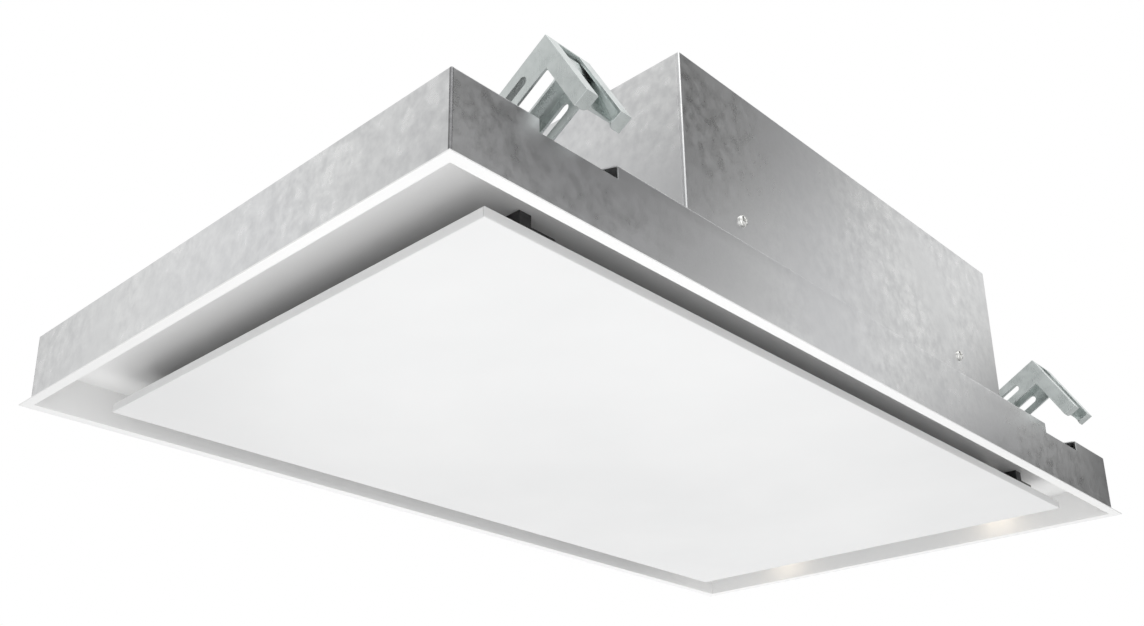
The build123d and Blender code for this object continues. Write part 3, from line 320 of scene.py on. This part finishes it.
def pan_screw(radius, height, shank, length):
    """A pan head on a shank, around Z with the head's seat at z = 0. With s = r / radius, its top
    is z = height (1 - 0.55 s^4), less a cross recess of 0.6 height: full within 0.054 radius of
    the X or the Y axis, gone past 0.144 radius, and fading out from s = 0.46 to 0.58."""
    share = np.linspace(0, 0.94, 18)
    top = np.stack([share * radius, height * (1 - 0.55 * share**4)], -1)
    rest = [(radius, height * 0.35), (radius, 0), (shank, 0), (shank, -length + shank / 2)]
    points, faces = lathe(np.concatenate([top, rest, [(0, -length)]]), 40)
    across, along = np.abs(points[:, 0]), np.abs(points[:, 1])
    arm = np.clip(1.6 - np.minimum(across, along) / (0.09 * radius), 0, 1)
    reach = np.clip((0.58 * radius - np.hypot(across, along)) / (0.12 * radius), 0, 1)
    points[:, 2] -= np.where(points[:, 2] > 0.3 * height, arm * reach * 0.6 * height, 0)
    return points, faces


def set_out(shape, spots, axis, turns):
    """The shape, carried to each spot with its Z along the axis and turned about it."""
    base = np.array(Vector(axis).to_track_quat("Z", "Y").to_matrix())
    points, faces = shape
    spun = [np.array(Matrix.Rotation(turn, 3, "Z")) for turn in turns]
    return [(points @ (base @ spin).T + np.array(spot), faces) for spot, spin in zip(spots, spun)]


def plated(name, colour, bright, rough):
    """Bright zinc plate: slightly cloudy, with fine scratches and duller patches."""
    mat = new_material(name, 1.0)
    cloud = noise(mat, 0.012, 4)
    scratch = noise(mat, 0.0006, 1, (1, 1, 24))
    base = tint(mat, cloud, colour, bright, 0.35, 0.65)
    dulled = spread(mat, cloud, rough, rough + 0.1)
    level = calc(mat, "ADD", dulled, spread(mat, scratch, -0.04, 0.06))
    normal = relief(mat, cloud, 0.00003, relief(mat, scratch, 0.000008))
    wire(mat, {"Base Color": base, "Roughness": level, "Normal": normal})
    return mat


def around(middle, radius, height, start, count):
    """Places evenly spaced on a level circle, the first of them at the start angle in degrees."""
    turns = radians(start) + np.arange(count) * 2 * pi / count
    return [(middle[0] + radius * cos(t), middle[1] + radius * sin(t), height) for t in turns]


rng = np.random.default_rng(11)
steel = plated("bright_steel", (0.60, 0.60, 0.585), (0.74, 0.74, 0.72), 0.22)
box_face_y = 0.2372
box_screw_x = (-0.165, 0.154)
box_screw_z = 0.081
box_screw = pan_screw(0.0045, 0.0026, 0.0024, 0.008)
front_spots = [(x, -box_face_y, box_screw_z) for x in box_screw_x]
rear_spots = [(-x, box_face_y, box_screw_z) for x in box_screw_x]
shapes = set_out(box_screw, front_spots, (0, -1, 0), rng.uniform(0, pi, 2))
shapes += set_out(box_screw, rear_spots, (0, 1, 0), rng.uniform(0, pi, 2))
build("box_screw_set", *gathered(shapes), steel, "hood", "bright_steel", ["box_screws"])

collar_middle = (0.065, 0.141)
collar_spots = around(collar_middle, 0.086, 0.1915, 45, 4)
collar_screw = pan_screw(0.0038, 0.0024, 0.002, 0.0085)
shapes = set_out(collar_screw, collar_spots, (0, 0, 1), rng.uniform(0, pi, 4))
build("collar_screw_set", *gathered(shapes), steel, "hood", "bright_steel", ["collar_screws"])

motor_middle = (-0.025, -0.05)
motor_spots = around(motor_middle, 0.034, 0.1715, 90, 3)
motor_screw = pan_screw(0.0045, 0.0025, 0.0025, 0.0125)
shapes = set_out(motor_screw, motor_spots, (0, 0, 1), rng.uniform(0, pi, 3))
build("motor_screw_set", *gathered(shapes), steel, "hood", "bright_steel", ["motor_screws"])

# ---- Ceiling clamps, their seats and nuts ------------------------------------------------------
# Straps folded from 2 mm steel and zinc plated, with a faint green cast. Each tilts on a heel pin
# in a galvanised bracket and is drawn down by a barrel nut.
clamp_zinc = plated("clamp_zinc", (0.56, 0.60, 0.59), (0.68, 0.72, 0.71), 0.26)
corners = ("front_left", "front_right", "rear_left", "rear_right")
for corner in corners:
    skin("clamp_" + corner, clamp_zinc, 0.0004)
    skin("clamp_nut_" + corner, steel, 0.0003)
skin("heel_brackets", sheet_zinc, 0.0003)
skin("heel_pins", steel, 0.0003)
skin("clamp_base_plates", sheet_zinc, 0.0003)

# ---- Clamp screws ------------------------------------------------------------------------------
# Zinc-plated M6 screws with a thread of 1 mm pitch. Each turns on its collar above the clamp's
# plate, and its black lever is pressed on the lower end.


def threaded(radius, pitch, low, high, collar, collar_low, collar_high):
    """A screw round Z: its radius is less by 0.55 pitch times a triangle wave of z / pitch minus
    the turn, it ends in a chamfer of 0.8 mm, and at the collar's heights it is the collar's."""
    columns = 24
    turn = np.arange(columns) * 2 * pi / columns
    below = np.arange(low, collar_low, pitch / 4)
    above = np.arange(collar_high, high, pitch / 4)
    ring = np.array([collar_low, collar_low, collar_high, collar_high])
    height = np.concatenate([below, ring, above, [high]])
    wave = np.abs((height[:, None] / pitch - turn / (2 * pi)) % 1 * 2 - 1)
    size = radius - 0.55 * pitch * wave
    size = np.minimum(size, radius - 0.0008 + (high - height)[:, None])
    first = len(below)
    size[first + 1 : first + 3] = collar
    grid = np.stack([size * np.cos(turn), size * np.sin(turn), height[:, None] + 0 * turn], -1)
    points = np.concatenate([[[0, 0, low]], grid.reshape(-1, 3), [[0, 0, high]]])
    return points, fan(len(height) + 2, columns)


screw_x, screw_y = 0.3408, 0.1896
screw_points, screw_faces = threaded(0.003, 0.001, 0.014, 0.101, 0.005, 0.0343, 0.0363)
for corner in corners:
    middle_x = -screw_x if corner.endswith("left") else screw_x
    middle_y = -screw_y if corner.startswith("front") else screw_y
    points = screw_points + (middle_x, middle_y, 0)
    node = "clamp_screw_" + corner
    build(node + "_thread", points, screw_faces, steel, "screw_" + corner, "bright_steel", [node])

# ---- Turning levers, panel catches and filter latches -------------------------------------------
# Injection-moulded nylon, matt black, with a fine spark-eroded grain and scuffs that shine a
# little. The levers sit on the clamp screws, and the latches slide in the filters' frames.


def moulded(name, colour, bright, rough, grain=0.0005):
    """Moulded plastic: fine grain, a slow change of grey, and scuffs that are a little shinier."""
    mat = new_material(name, 0.0, specular=0.45)
    slow = noise(mat, 0.03, 3)
    scuff = noise(mat, 0.004, 4, (3, 1, 1))
    fine = noise(mat, grain, 1)
    base = tint(mat, slow, colour, bright, 0.35, 0.65)
    worn = spread(mat, scuff, rough + 0.08, rough - 0.1, 0.4, 0.75)
    level = calc(mat, "ADD", worn, spread(mat, fine, -0.03, 0.03))
    normal = relief(mat, scuff, 0.00004, relief(mat, fine, 0.00003))
    wire(mat, {"Base Color": base, "Roughness": level, "Normal": normal})
    return mat


lever_black = moulded("lever_black", (0.022, 0.022, 0.023), (0.034, 0.034, 0.035), 0.42)
for corner in corners:
    skin("clamp_lever_" + corner, lever_black, 0.0005, 3)
skin("panel_catch_left", lever_black, 0.0004)
skin("panel_catch_right", lever_black, 0.0004)
latch_black = moulded("latch_black", (0.03, 0.03, 0.031), (0.045, 0.045, 0.046), 0.38)
for side in ("left", "centre", "right"):
    skin("filter_latch_" + side, latch_black, 0.0005, 3)

# ---- Panel hinges, catch tongues and backing ----------------------------------------------------
# Galvanised hinge plates on steel pins, spring-steel tongues, and a glued felt that damps the
# panel's ring.
skin("hinge_brackets", sheet_zinc, 0.0003)
skin("hinge_leaves", sheet_zinc, 0.0003)
skin("hinge_pins", steel, 0.0003)
skin("catch_tongues", steel, 0.0003)


def felted(name):
    """Needled felt: tangled fibres of several greys that stand up a little."""
    mat = new_material(name, 0.0, specular=0.2)
    tangle = noise(mat, 0.0011, 3, (4, 1, 1))
    other = noise(mat, 0.0013, 3, (1, 4, 1))
    patch = noise(mat, 0.03, 3)
    mixed = calc(mat, "MAXIMUM", tangle, other)
    base = tint(mat, mixed, (0.13, 0.13, 0.135), (0.30, 0.30, 0.305), 0.4, 0.68)
    shade = tint(mat, patch, (0.85, 0.85, 0.86), (1.1, 1.1, 1.09), 0.35, 0.65)
    base = add(mat, "MixRGB", {"Fac": 1.0, "Color1": base, "Color2": shade}, blend_type="MULTIPLY")
    normal = relief(mat, mixed, 0.0003)
    normal = relief(mat, patch, 0.0006, normal)
    wire(mat, {"Base Color": base, "Roughness": spread(mat, mixed, 0.85, 1.0), "Normal": normal})
    return mat


skin("panel_backing", felted("felt"), 0.0006)

# ---- Grease filters ------------------------------------------------------------------------------
# Rolled aluminium frames round layers of expanded mesh. The strands of the outer layers are
# pieces of their own, over inner layers drawn as a weave in painted shade.


def brushed(name, mesh_low, mesh_high):
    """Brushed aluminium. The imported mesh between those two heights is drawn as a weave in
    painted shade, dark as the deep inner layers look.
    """
    mat = new_material(name, 1.0)
    line = noise(mat, 0.0009, 2, (30, 1, 1))
    cloud = noise(mat, 0.04, 3)
    z = add(mat, "SeparateXYZ", {"Vector": place(mat)}).node.outputs["Z"]
    over_floor = calc(mat, "GREATER_THAN", z, mesh_low)
    under_top = calc(mat, "LESS_THAN", z, mesh_high)
    inside = calc(mat, "MULTIPLY", over_floor, under_top)
    weave = add(mat, "TexVoronoi", {"Vector": place(mat, (2, 1, 1)), "Scale": 280.0}, feature="F1")
    bright = tint(mat, line, (0.62, 0.63, 0.64), (0.74, 0.75, 0.76))
    # painted shade: the inner mesh is as dark as deep layers look, with a weave pattern
    dark = tint(mat, weave, (0.07, 0.072, 0.075), (0.34, 0.345, 0.35), 0.1, 0.6)
    rough = calc(mat, "ADD", spread(mat, line, 0.26, 0.4), spread(mat, cloud, 0.0, 0.1))
    normal = relief(mat, line, 0.00001)
    normal = relief(mat, calc(mat, "MULTIPLY", weave, inside), 0.001, normal)
    wire(mat, {"Base Color": blend(mat, inside, bright, dark), "Roughness": rough, "Normal": normal})
    return mat


def expanded(low, high, height, cell, slope):
    """Expanded metal over a rectangle, of cells cell[0] by cell[1]: with h = cell[1] / 2, strand j
    is y = (j + 1/2) h +/- 0.43 h times a triangle wave of x, the sign changing from strand to
    strand. Its section is a flat ribbon of 1.1 mm, leaned by the slope."""
    step = cell[0] / 4
    x = np.arange(low[0], high[0] + step / 2, step)
    half = cell[1] / 2
    j = np.arange(int((high[1] - low[1]) / half))
    wave = np.abs(((x - low[0]) / cell[0]) % 1 * 4 - 2) - 1
    sign = np.where(j % 2, 1, -1)[:, None]
    y = low[1] + (j[:, None] + 0.5) * half + sign * wave * half * 0.43
    lean = np.array([(-0.00055, -0.0001), (0.00045, -0.0001), (0.00055, 0.0001), (-0.00045, 0.0001)])
    offset = np.stack([lean[:, 0] * cos(slope) - lean[:, 1], lean[:, 0] * sin(slope) + lean[:, 1]], -1)
    grid = np.empty((len(j), len(x), 4, 3))
    grid[..., 0] = x[None, :, None]
    grid[..., 1] = y[..., None] + offset[:, 0]
    grid[..., 2] = height + offset[:, 1]
    at = (np.arange(len(j))[:, None, None] * len(x) + np.arange(len(x) - 1)[None, :, None]) * 4
    k, after = np.arange(4), (np.arange(4) + 1) % 4
    faces = np.stack([at + k, at + after, at + 4 + after, at + 4 + k], -1).reshape(-1, 4)
    return grid.reshape(-1, 3), faces


def strand_metal(name):
    """Bare aluminium strands: dull, each cut a little differently, with traces of grease."""
    mat = new_material(name, 1.0)
    cloud = noise(mat, 0.02, 3)
    fine = noise(mat, 0.0015, 2)
    base = tint(mat, cloud, (0.56, 0.56, 0.55), (0.76, 0.77, 0.78))
    rough = calc(mat, "ADD", spread(mat, cloud, 0.24, 0.4), spread(mat, fine, 0.0, 0.08))
    wire(mat, {"Base Color": base, "Roughness": rough, "Normal": relief(mat, fine, 0.00002)})
    return mat


filter_spacing = 0.7 / 3
mesh_half_length = 0.1030
mesh_front, mesh_back = -0.1422, 0.1560
mesh_cell = (0.012, 0.0072)
layer_slopes = {0.0337: 0.6, 0.0383: -0.6}
filter_metal = brushed("filter_metal", 0.0343, 0.0377)
mesh_metal = strand_metal("mesh_metal")
for index, side in enumerate(("left", "centre", "right")):
    skin("grease_filter_" + side, filter_metal, 0.0005)
    middle_x = (index - 1) * filter_spacing
    near = (middle_x - mesh_half_length, mesh_front)
    far = (middle_x + mesh_half_length, mesh_back)
    layers = []
    for height, slope in layer_slopes.items():
        points, faces = expanded(near, far, height, mesh_cell, slope)
        layers.append((points, faces.tolist()))
    build("filter_mesh_" + side, *gathered(layers), mesh_metal, "hood", "filter_aluminium")

# ---- Lamps -----------------------------------------------------------------------------------------
# Turned satin-nickel bezels, pressed into the right of the roof, round frosted polycarbonate
# lenses with warm white diodes behind.


def turned_metal(name, colour, bright, rough):
    """Satin metal with fine turning rings."""
    mat = new_material(name, 1.0)
    ring = noise(mat, 0.0008, 2)
    cloud = noise(mat, 0.01, 3)
    base = tint(mat, cloud, colour, bright)
    level = calc(mat, "ADD", spread(mat, ring, rough, rough + 0.1), spread(mat, cloud, -0.04, 0.04))
    wire(mat, {"Base Color": base, "Roughness": level, "Normal": relief(mat, ring, 0.00001)})
    return mat


def lit_lens(name, strength):
    """Frosted plastic, lit from behind, with a warm glow whose tone varies in soft clouds."""
    mat = new_material(name, 0.0)
    frost = noise(mat, 0.0007, 2)
    cloud = noise(mat, 0.006, 2)
    glow = tint(mat, cloud, (1.0, 0.83, 0.62), (1.0, 0.90, 0.76), 0.3, 0.7)
    base = tint(mat, frost, (0.80, 0.79, 0.76), (0.90, 0.89, 0.86))
    shader = mat.node_tree.nodes["Principled BSDF"]
    shader.inputs["Emission Strength"].default_value = strength
    rough = spread(mat, frost, 0.4, 0.6)
    wire(mat, {"Base Color": base, "Emission Color": glow, "Roughness": rough})
    wire(mat, {"Normal": relief(mat, frost, 0.00003)})
    return mat


def rippled_lens(radius, low, high, depth):
    """A disc from z = low to high whose lower face is z = low + depth times a triangle wave of 12
    rings over the radius."""
    share = np.linspace(0, 1, 41)[1:]
    wave = np.abs((share * 12) % 1 * 2 - 1)
    face = np.stack([share * radius, low + depth * wave], -1)
    return lathe(np.concatenate([[(0, high)], [(radius, high)], face[::-1], [(0, low)]]), 48)


nickel = turned_metal("satin_nickel", (0.62, 0.61, 0.59), (0.74, 0.73, 0.71), 0.24)
skin("lamp_bezels", nickel, 0.0003, 3)
lens_glow = lit_lens("lens_glow", 7.0)
lens_x, lens_y = 0.419, 0.13
lens_spots = [(lens_x, -lens_y, 0), (lens_x, lens_y, 0)]
lens_shape = rippled_lens(0.0098, 0.0299, 0.0318, 0.00012)
shapes = set_out(lens_shape, lens_spots, (0, 0, 1), np.zeros(2))
build("lamp_lens_set", *gathered(shapes), lens_glow, "hood", "lamp_lens", ["lamp_lenses"])

# ---- Blower: scroll, lid, inlet ring, impeller and motor -----------------------------------------
# Black polypropylene scroll, lid and impeller, a pressed steel inlet, and a painted motor on
# rubber grommets.
scroll_black = moulded("scroll_black", (0.028, 0.029, 0.030), (0.042, 0.043, 0.044), 0.45, 0.0009)
impeller_black = moulded("impeller_black", (0.035, 0.036, 0.038), (0.05, 0.051, 0.053), 0.36, 0.0007)
skin("blower_scroll", scroll_black, 0.0004)
skin("scroll_lid", scroll_black, 0.0004)
skin("impeller", impeller_black, 0.0)
skin("inlet_ring", sheet_zinc, 0.0002)
skin("motor_bracket", sheet_zinc, 0.0003)
skin("motor_bearings", steel, 0.0002)
skin("motor_shaft", steel, 0.0002)


def painted_can(name):
    """Dark motor paint over stacked plates, whose edges show as fine rings."""
    mat = new_material(name, 0.0, coat=0.2)
    waves = {"Vector": place(mat), "Scale": 480.0, "Distortion": 0.3}
    plates = add(mat, "TexWave", waves, bands_direction="Z")
    cloud = noise(mat, 0.02, 3)
    fine = noise(mat, 0.0012, 1)
    base = tint(mat, cloud, (0.028, 0.030, 0.032), (0.045, 0.047, 0.05))
    rough = calc(mat, "ADD", spread(mat, cloud, 0.3, 0.42), spread(mat, fine, -0.03, 0.04))
    normal = relief(mat, plates, 0.00012)
    wire(mat, {"Base Color": base, "Roughness": rough, "Normal": relief(mat, fine, 0.00003, normal)})
    return mat


skin("motor", painted_can("motor_paint"), 0.0004)
rubber_black = moulded("rubber_black", (0.016, 0.016, 0.016), (0.028, 0.028, 0.028), 0.62)
skin("motor_grommets", rubber_black, 0.0008, 3)

# ---- Duct collar and non-return flaps --------------------------------------------------------------
# Injection-moulded collar in two steps, for ducts of 150 and 120 mm, with two thin flaps inside.
collar_black = moulded("collar_black", (0.026, 0.027, 0.028), (0.040, 0.041, 0.042), 0.40, 0.0008)
skin("duct_collar", collar_black, 0.0005, 3)
skin("flap_front", collar_black, 0.0003)
skin("flap_rear", collar_black, 0.0003)
skin("flap_pin", steel, 0.0002)

# ---- Control box, circuit board, terminals and cable gland ------------------------------------------
# Flame-retardant plastic tray and lid, a green board with its larger parts, an ivory terminal
# block, and a nylon gland in the rear wall.
control_black = moulded("control_black", (0.03, 0.031, 0.033), (0.045, 0.046, 0.048), 0.44, 0.0006)
skin("control_box", control_black, 0.0004)
skin("control_box_lid", control_black, 0.0003)


def circuit(name, board_top):
    """Solder mask with copper tracks under it. What stands above the board's top is dark blue,
    black or grey."""
    mat = new_material(name, 0.0, coat=0.3)
    track = cells(mat, 0.0022, (1, 3, 1))
    lines = spread(mat, track, 0.0, 1.0, 0.45, 0.5)
    mask = tint(mat, lines, (0.010, 0.075, 0.030), (0.020, 0.13, 0.055), 0.0, 1.0)
    z = add(mat, "SeparateXYZ", {"Vector": place(mat)}).node.outputs["Z"]
    tall = calc(mat, "GREATER_THAN", z, board_top)
    kind = cells(mat, 0.026)
    body = tint(mat, kind, (0.02, 0.03, 0.09), (0.10, 0.10, 0.105), 0.3, 0.7)
    wear = noise(mat, 0.0012, 2)
    rough = spread(mat, wear, 0.3, 0.5)
    normal = relief(mat, lines, 0.00003)
    wire(mat, {"Base Color": blend(mat, tall, mask, body), "Roughness": rough})
    wire(mat, {"Normal": relief(mat, wear, 0.00002, normal)})
    return mat


skin("control_board", circuit("solder_mask", 0.0693), 0.0004)
skin("terminal_block", moulded("ivory", (0.62, 0.58, 0.46), (0.72, 0.68, 0.56), 0.4), 0.0004)
gland_black = moulded("gland_black", (0.02, 0.02, 0.021), (0.034, 0.034, 0.035), 0.4)
skin("cable_gland", gland_black, 0.0004)

# ---- Studio ------------------------------------------------------------------------------------------
# A pale floor 2.4 m under the ceiling, soft lamps below and above, a white surround, and grey
# filters far off, through which the zinc mirrors it with the tones of a dim room.


def card(name, points, mat):
    """A stage surface with one face."""
    data = bpy.data.meshes.new(name)
    data.from_pydata(points, [], [(0, 1, 2, 3)])
    data.uv_layers.new(name="UVMap").data.foreach_set("uv", (0, 0, 1, 0, 1, 1, 0, 1))
    data.materials.append(mat)
    piece = bpy.data.objects.new(name, data)
    bpy.context.scene.collection.objects.link(piece)
    return piece


floor_paint = new_material("floor_paint", 0.0, specular=0.2)
level = noise(floor_paint, 0.6, 3)
wire(floor_paint, {"Base Color": tint(floor_paint, level, (0.80, 0.80, 0.80), (0.84, 0.84, 0.84))})
wire(floor_paint, {"Roughness": spread(floor_paint, level, 0.8, 0.95)})
floor_z, floor_half = -2.4, 9.0
signs = ((-1, -1), (1, -1), (1, 1), (-1, 1))
card("floor", [(x * floor_half, y * floor_half, floor_z) for x, y in signs], floor_paint)


def flag(name, direction, width, height, grey):
    """A soft-edged filter 4 m off in that direction, which only reflections see. It lets through
    the grey share of the white surround in its middle and all of it at its edge."""
    mat = bpy.data.materials.new(name)
    mat.use_nodes = True
    tree = mat.node_tree
    tree.nodes.clear()
    uv = tree.nodes.new("ShaderNodeTexCoord").outputs["UV"]
    centred = add(mat, "Mapping", {"Vector": uv, "Location": (-1, -1, 0), "Scale": (2, 2, 1)})
    away = add(mat, "VectorMath", {0: centred}, operation="LENGTH").node.outputs["Value"]
    clear = add(mat, "BsdfTransparent", {"Color": spread(mat, away, grey, 1.0, 0.45, 1.0)})
    out = tree.nodes.new("ShaderNodeOutputMaterial")
    tree.links.new(clear, out.inputs["Surface"])
    towards = Vector(direction).normalized()
    side = towards.cross(Vector((0, 0, 1))).normalized() * width
    up = side.normalized().cross(towards) * height
    piece = card(name, [tuple(towards * 4 + x * side + y * up) for x, y in signs], mat)
    piece.visible_camera = False
    piece.visible_diffuse = False
    piece.visible_transmission = False
    piece.visible_volume_scatter = False


flag("flag_front_near", (0.50, -0.60, 0.62), 1.5, 1.35, 0.0)
flag("flag_front_far", (0.935, -0.25, 0.25), 1.5, 0.8, 0.02)
flag("flag_left_far", (-0.14, 0.93, 0.34), 0.9, 1.2, 0.03)
flag("flag_left_box", (-0.81, 0.33, 0.48), 0.85, 1.0, 0.04)
flag("flag_clamp", (-0.94, 0.17, 0.30), 1.4, 1.3, 0.04)


def soft_lamp(name, stand, target, size, power):
    """A square area lamp of that many watts that stands there and points at its target."""
    data = bpy.data.lights.new(name, "AREA")
    data.size = size
    data.energy = power
    lamp = bpy.data.objects.new(name, data)
    lamp.location = stand
    lamp.rotation_mode = "QUATERNION"
    lamp.rotation_quaternion = (Vector(target) - Vector(stand)).to_track_quat("-Z", "Y")
    bpy.context.scene.collection.objects.link(lamp)


soft_lamp("lamp_below_far", (1.0, 0.9, -1.5), (0.1, 0.1, 0), 1.8, 16)
soft_lamp("lamp_below_near", (-1.0, -0.9, -1.6), (0, 0, 0), 1.8, 9)
soft_lamp("lamp_near_side", (-1.6, -1.5, -0.55), (0, 0, 0), 1.5, 9)
soft_lamp("lamp_above", (-0.9, -1.3, 2.2), (0, 0, 0.1), 1.6, 14)

world = bpy.data.worlds.new("surround")
bpy.context.scene.world = world
world.use_nodes = True
world.node_tree.nodes.clear()
rays = add(world, "LightPath", {}).node.outputs
seen = calc(world, "MAXIMUM", rays["Is Camera Ray"], rays["Is Glossy Ray"])
seen = calc(world, "MAXIMUM", seen, rays["Is Transmission Ray"])
white = add(world, "Background", {"Color": (1, 1, 1, 1), "Strength": 1.0})
fill = add(world, "Background", {"Color": (1, 1, 1, 1), "Strength": 0.7})
surround = add(world, "MixShader", {0: seen, 1: fill, 2: white})
world_out = world.node_tree.nodes.new("ShaderNodeOutputWorld")
world.node_tree.links.new(surround, world_out.inputs["Surface"])
bpy.context.scene.view_settings.view_transform = "Standard"

# ---- Camera ------------------------------------------------------------------------------------------
# Below the front left corner, looking up by 20 degrees. The photograph's verticals are parallel,
# and this tilted camera, with a small shift, comes close to that without a shift of half a frame.
photo_width = 1144
focal_pixels = 1256.8176
yaw, pitch, roll = radians(44.6192), radians(19.9732), radians(0.2258)
ahead = Vector((sin(yaw) * cos(pitch), cos(yaw) * cos(pitch), sin(pitch)))
level_right = Vector((cos(yaw), -sin(yaw), 0))
level_up = level_right.cross(ahead)
right = level_right * cos(roll) + level_up * sin(roll)
upward = level_up * cos(roll) - level_right * sin(roll)
camera_data = bpy.data.cameras.new("camera")
camera_data.sensor_width = 36
camera_data.lens = camera_data.sensor_width * focal_pixels / photo_width
camera_data.shift_x, camera_data.shift_y = 0.06, 0.12
camera_data.clip_start, camera_data.clip_end = 0.05, 60
camera = bpy.data.objects.new("camera", camera_data)
facing = Matrix((right, upward, -ahead)).transposed().to_4x4()
camera.matrix_world = Matrix.Translation((-0.82103, -0.66645, -0.36739)) @ facing
bpy.context.scene.collection.objects.link(camera)
bpy.context.scene.camera = camera
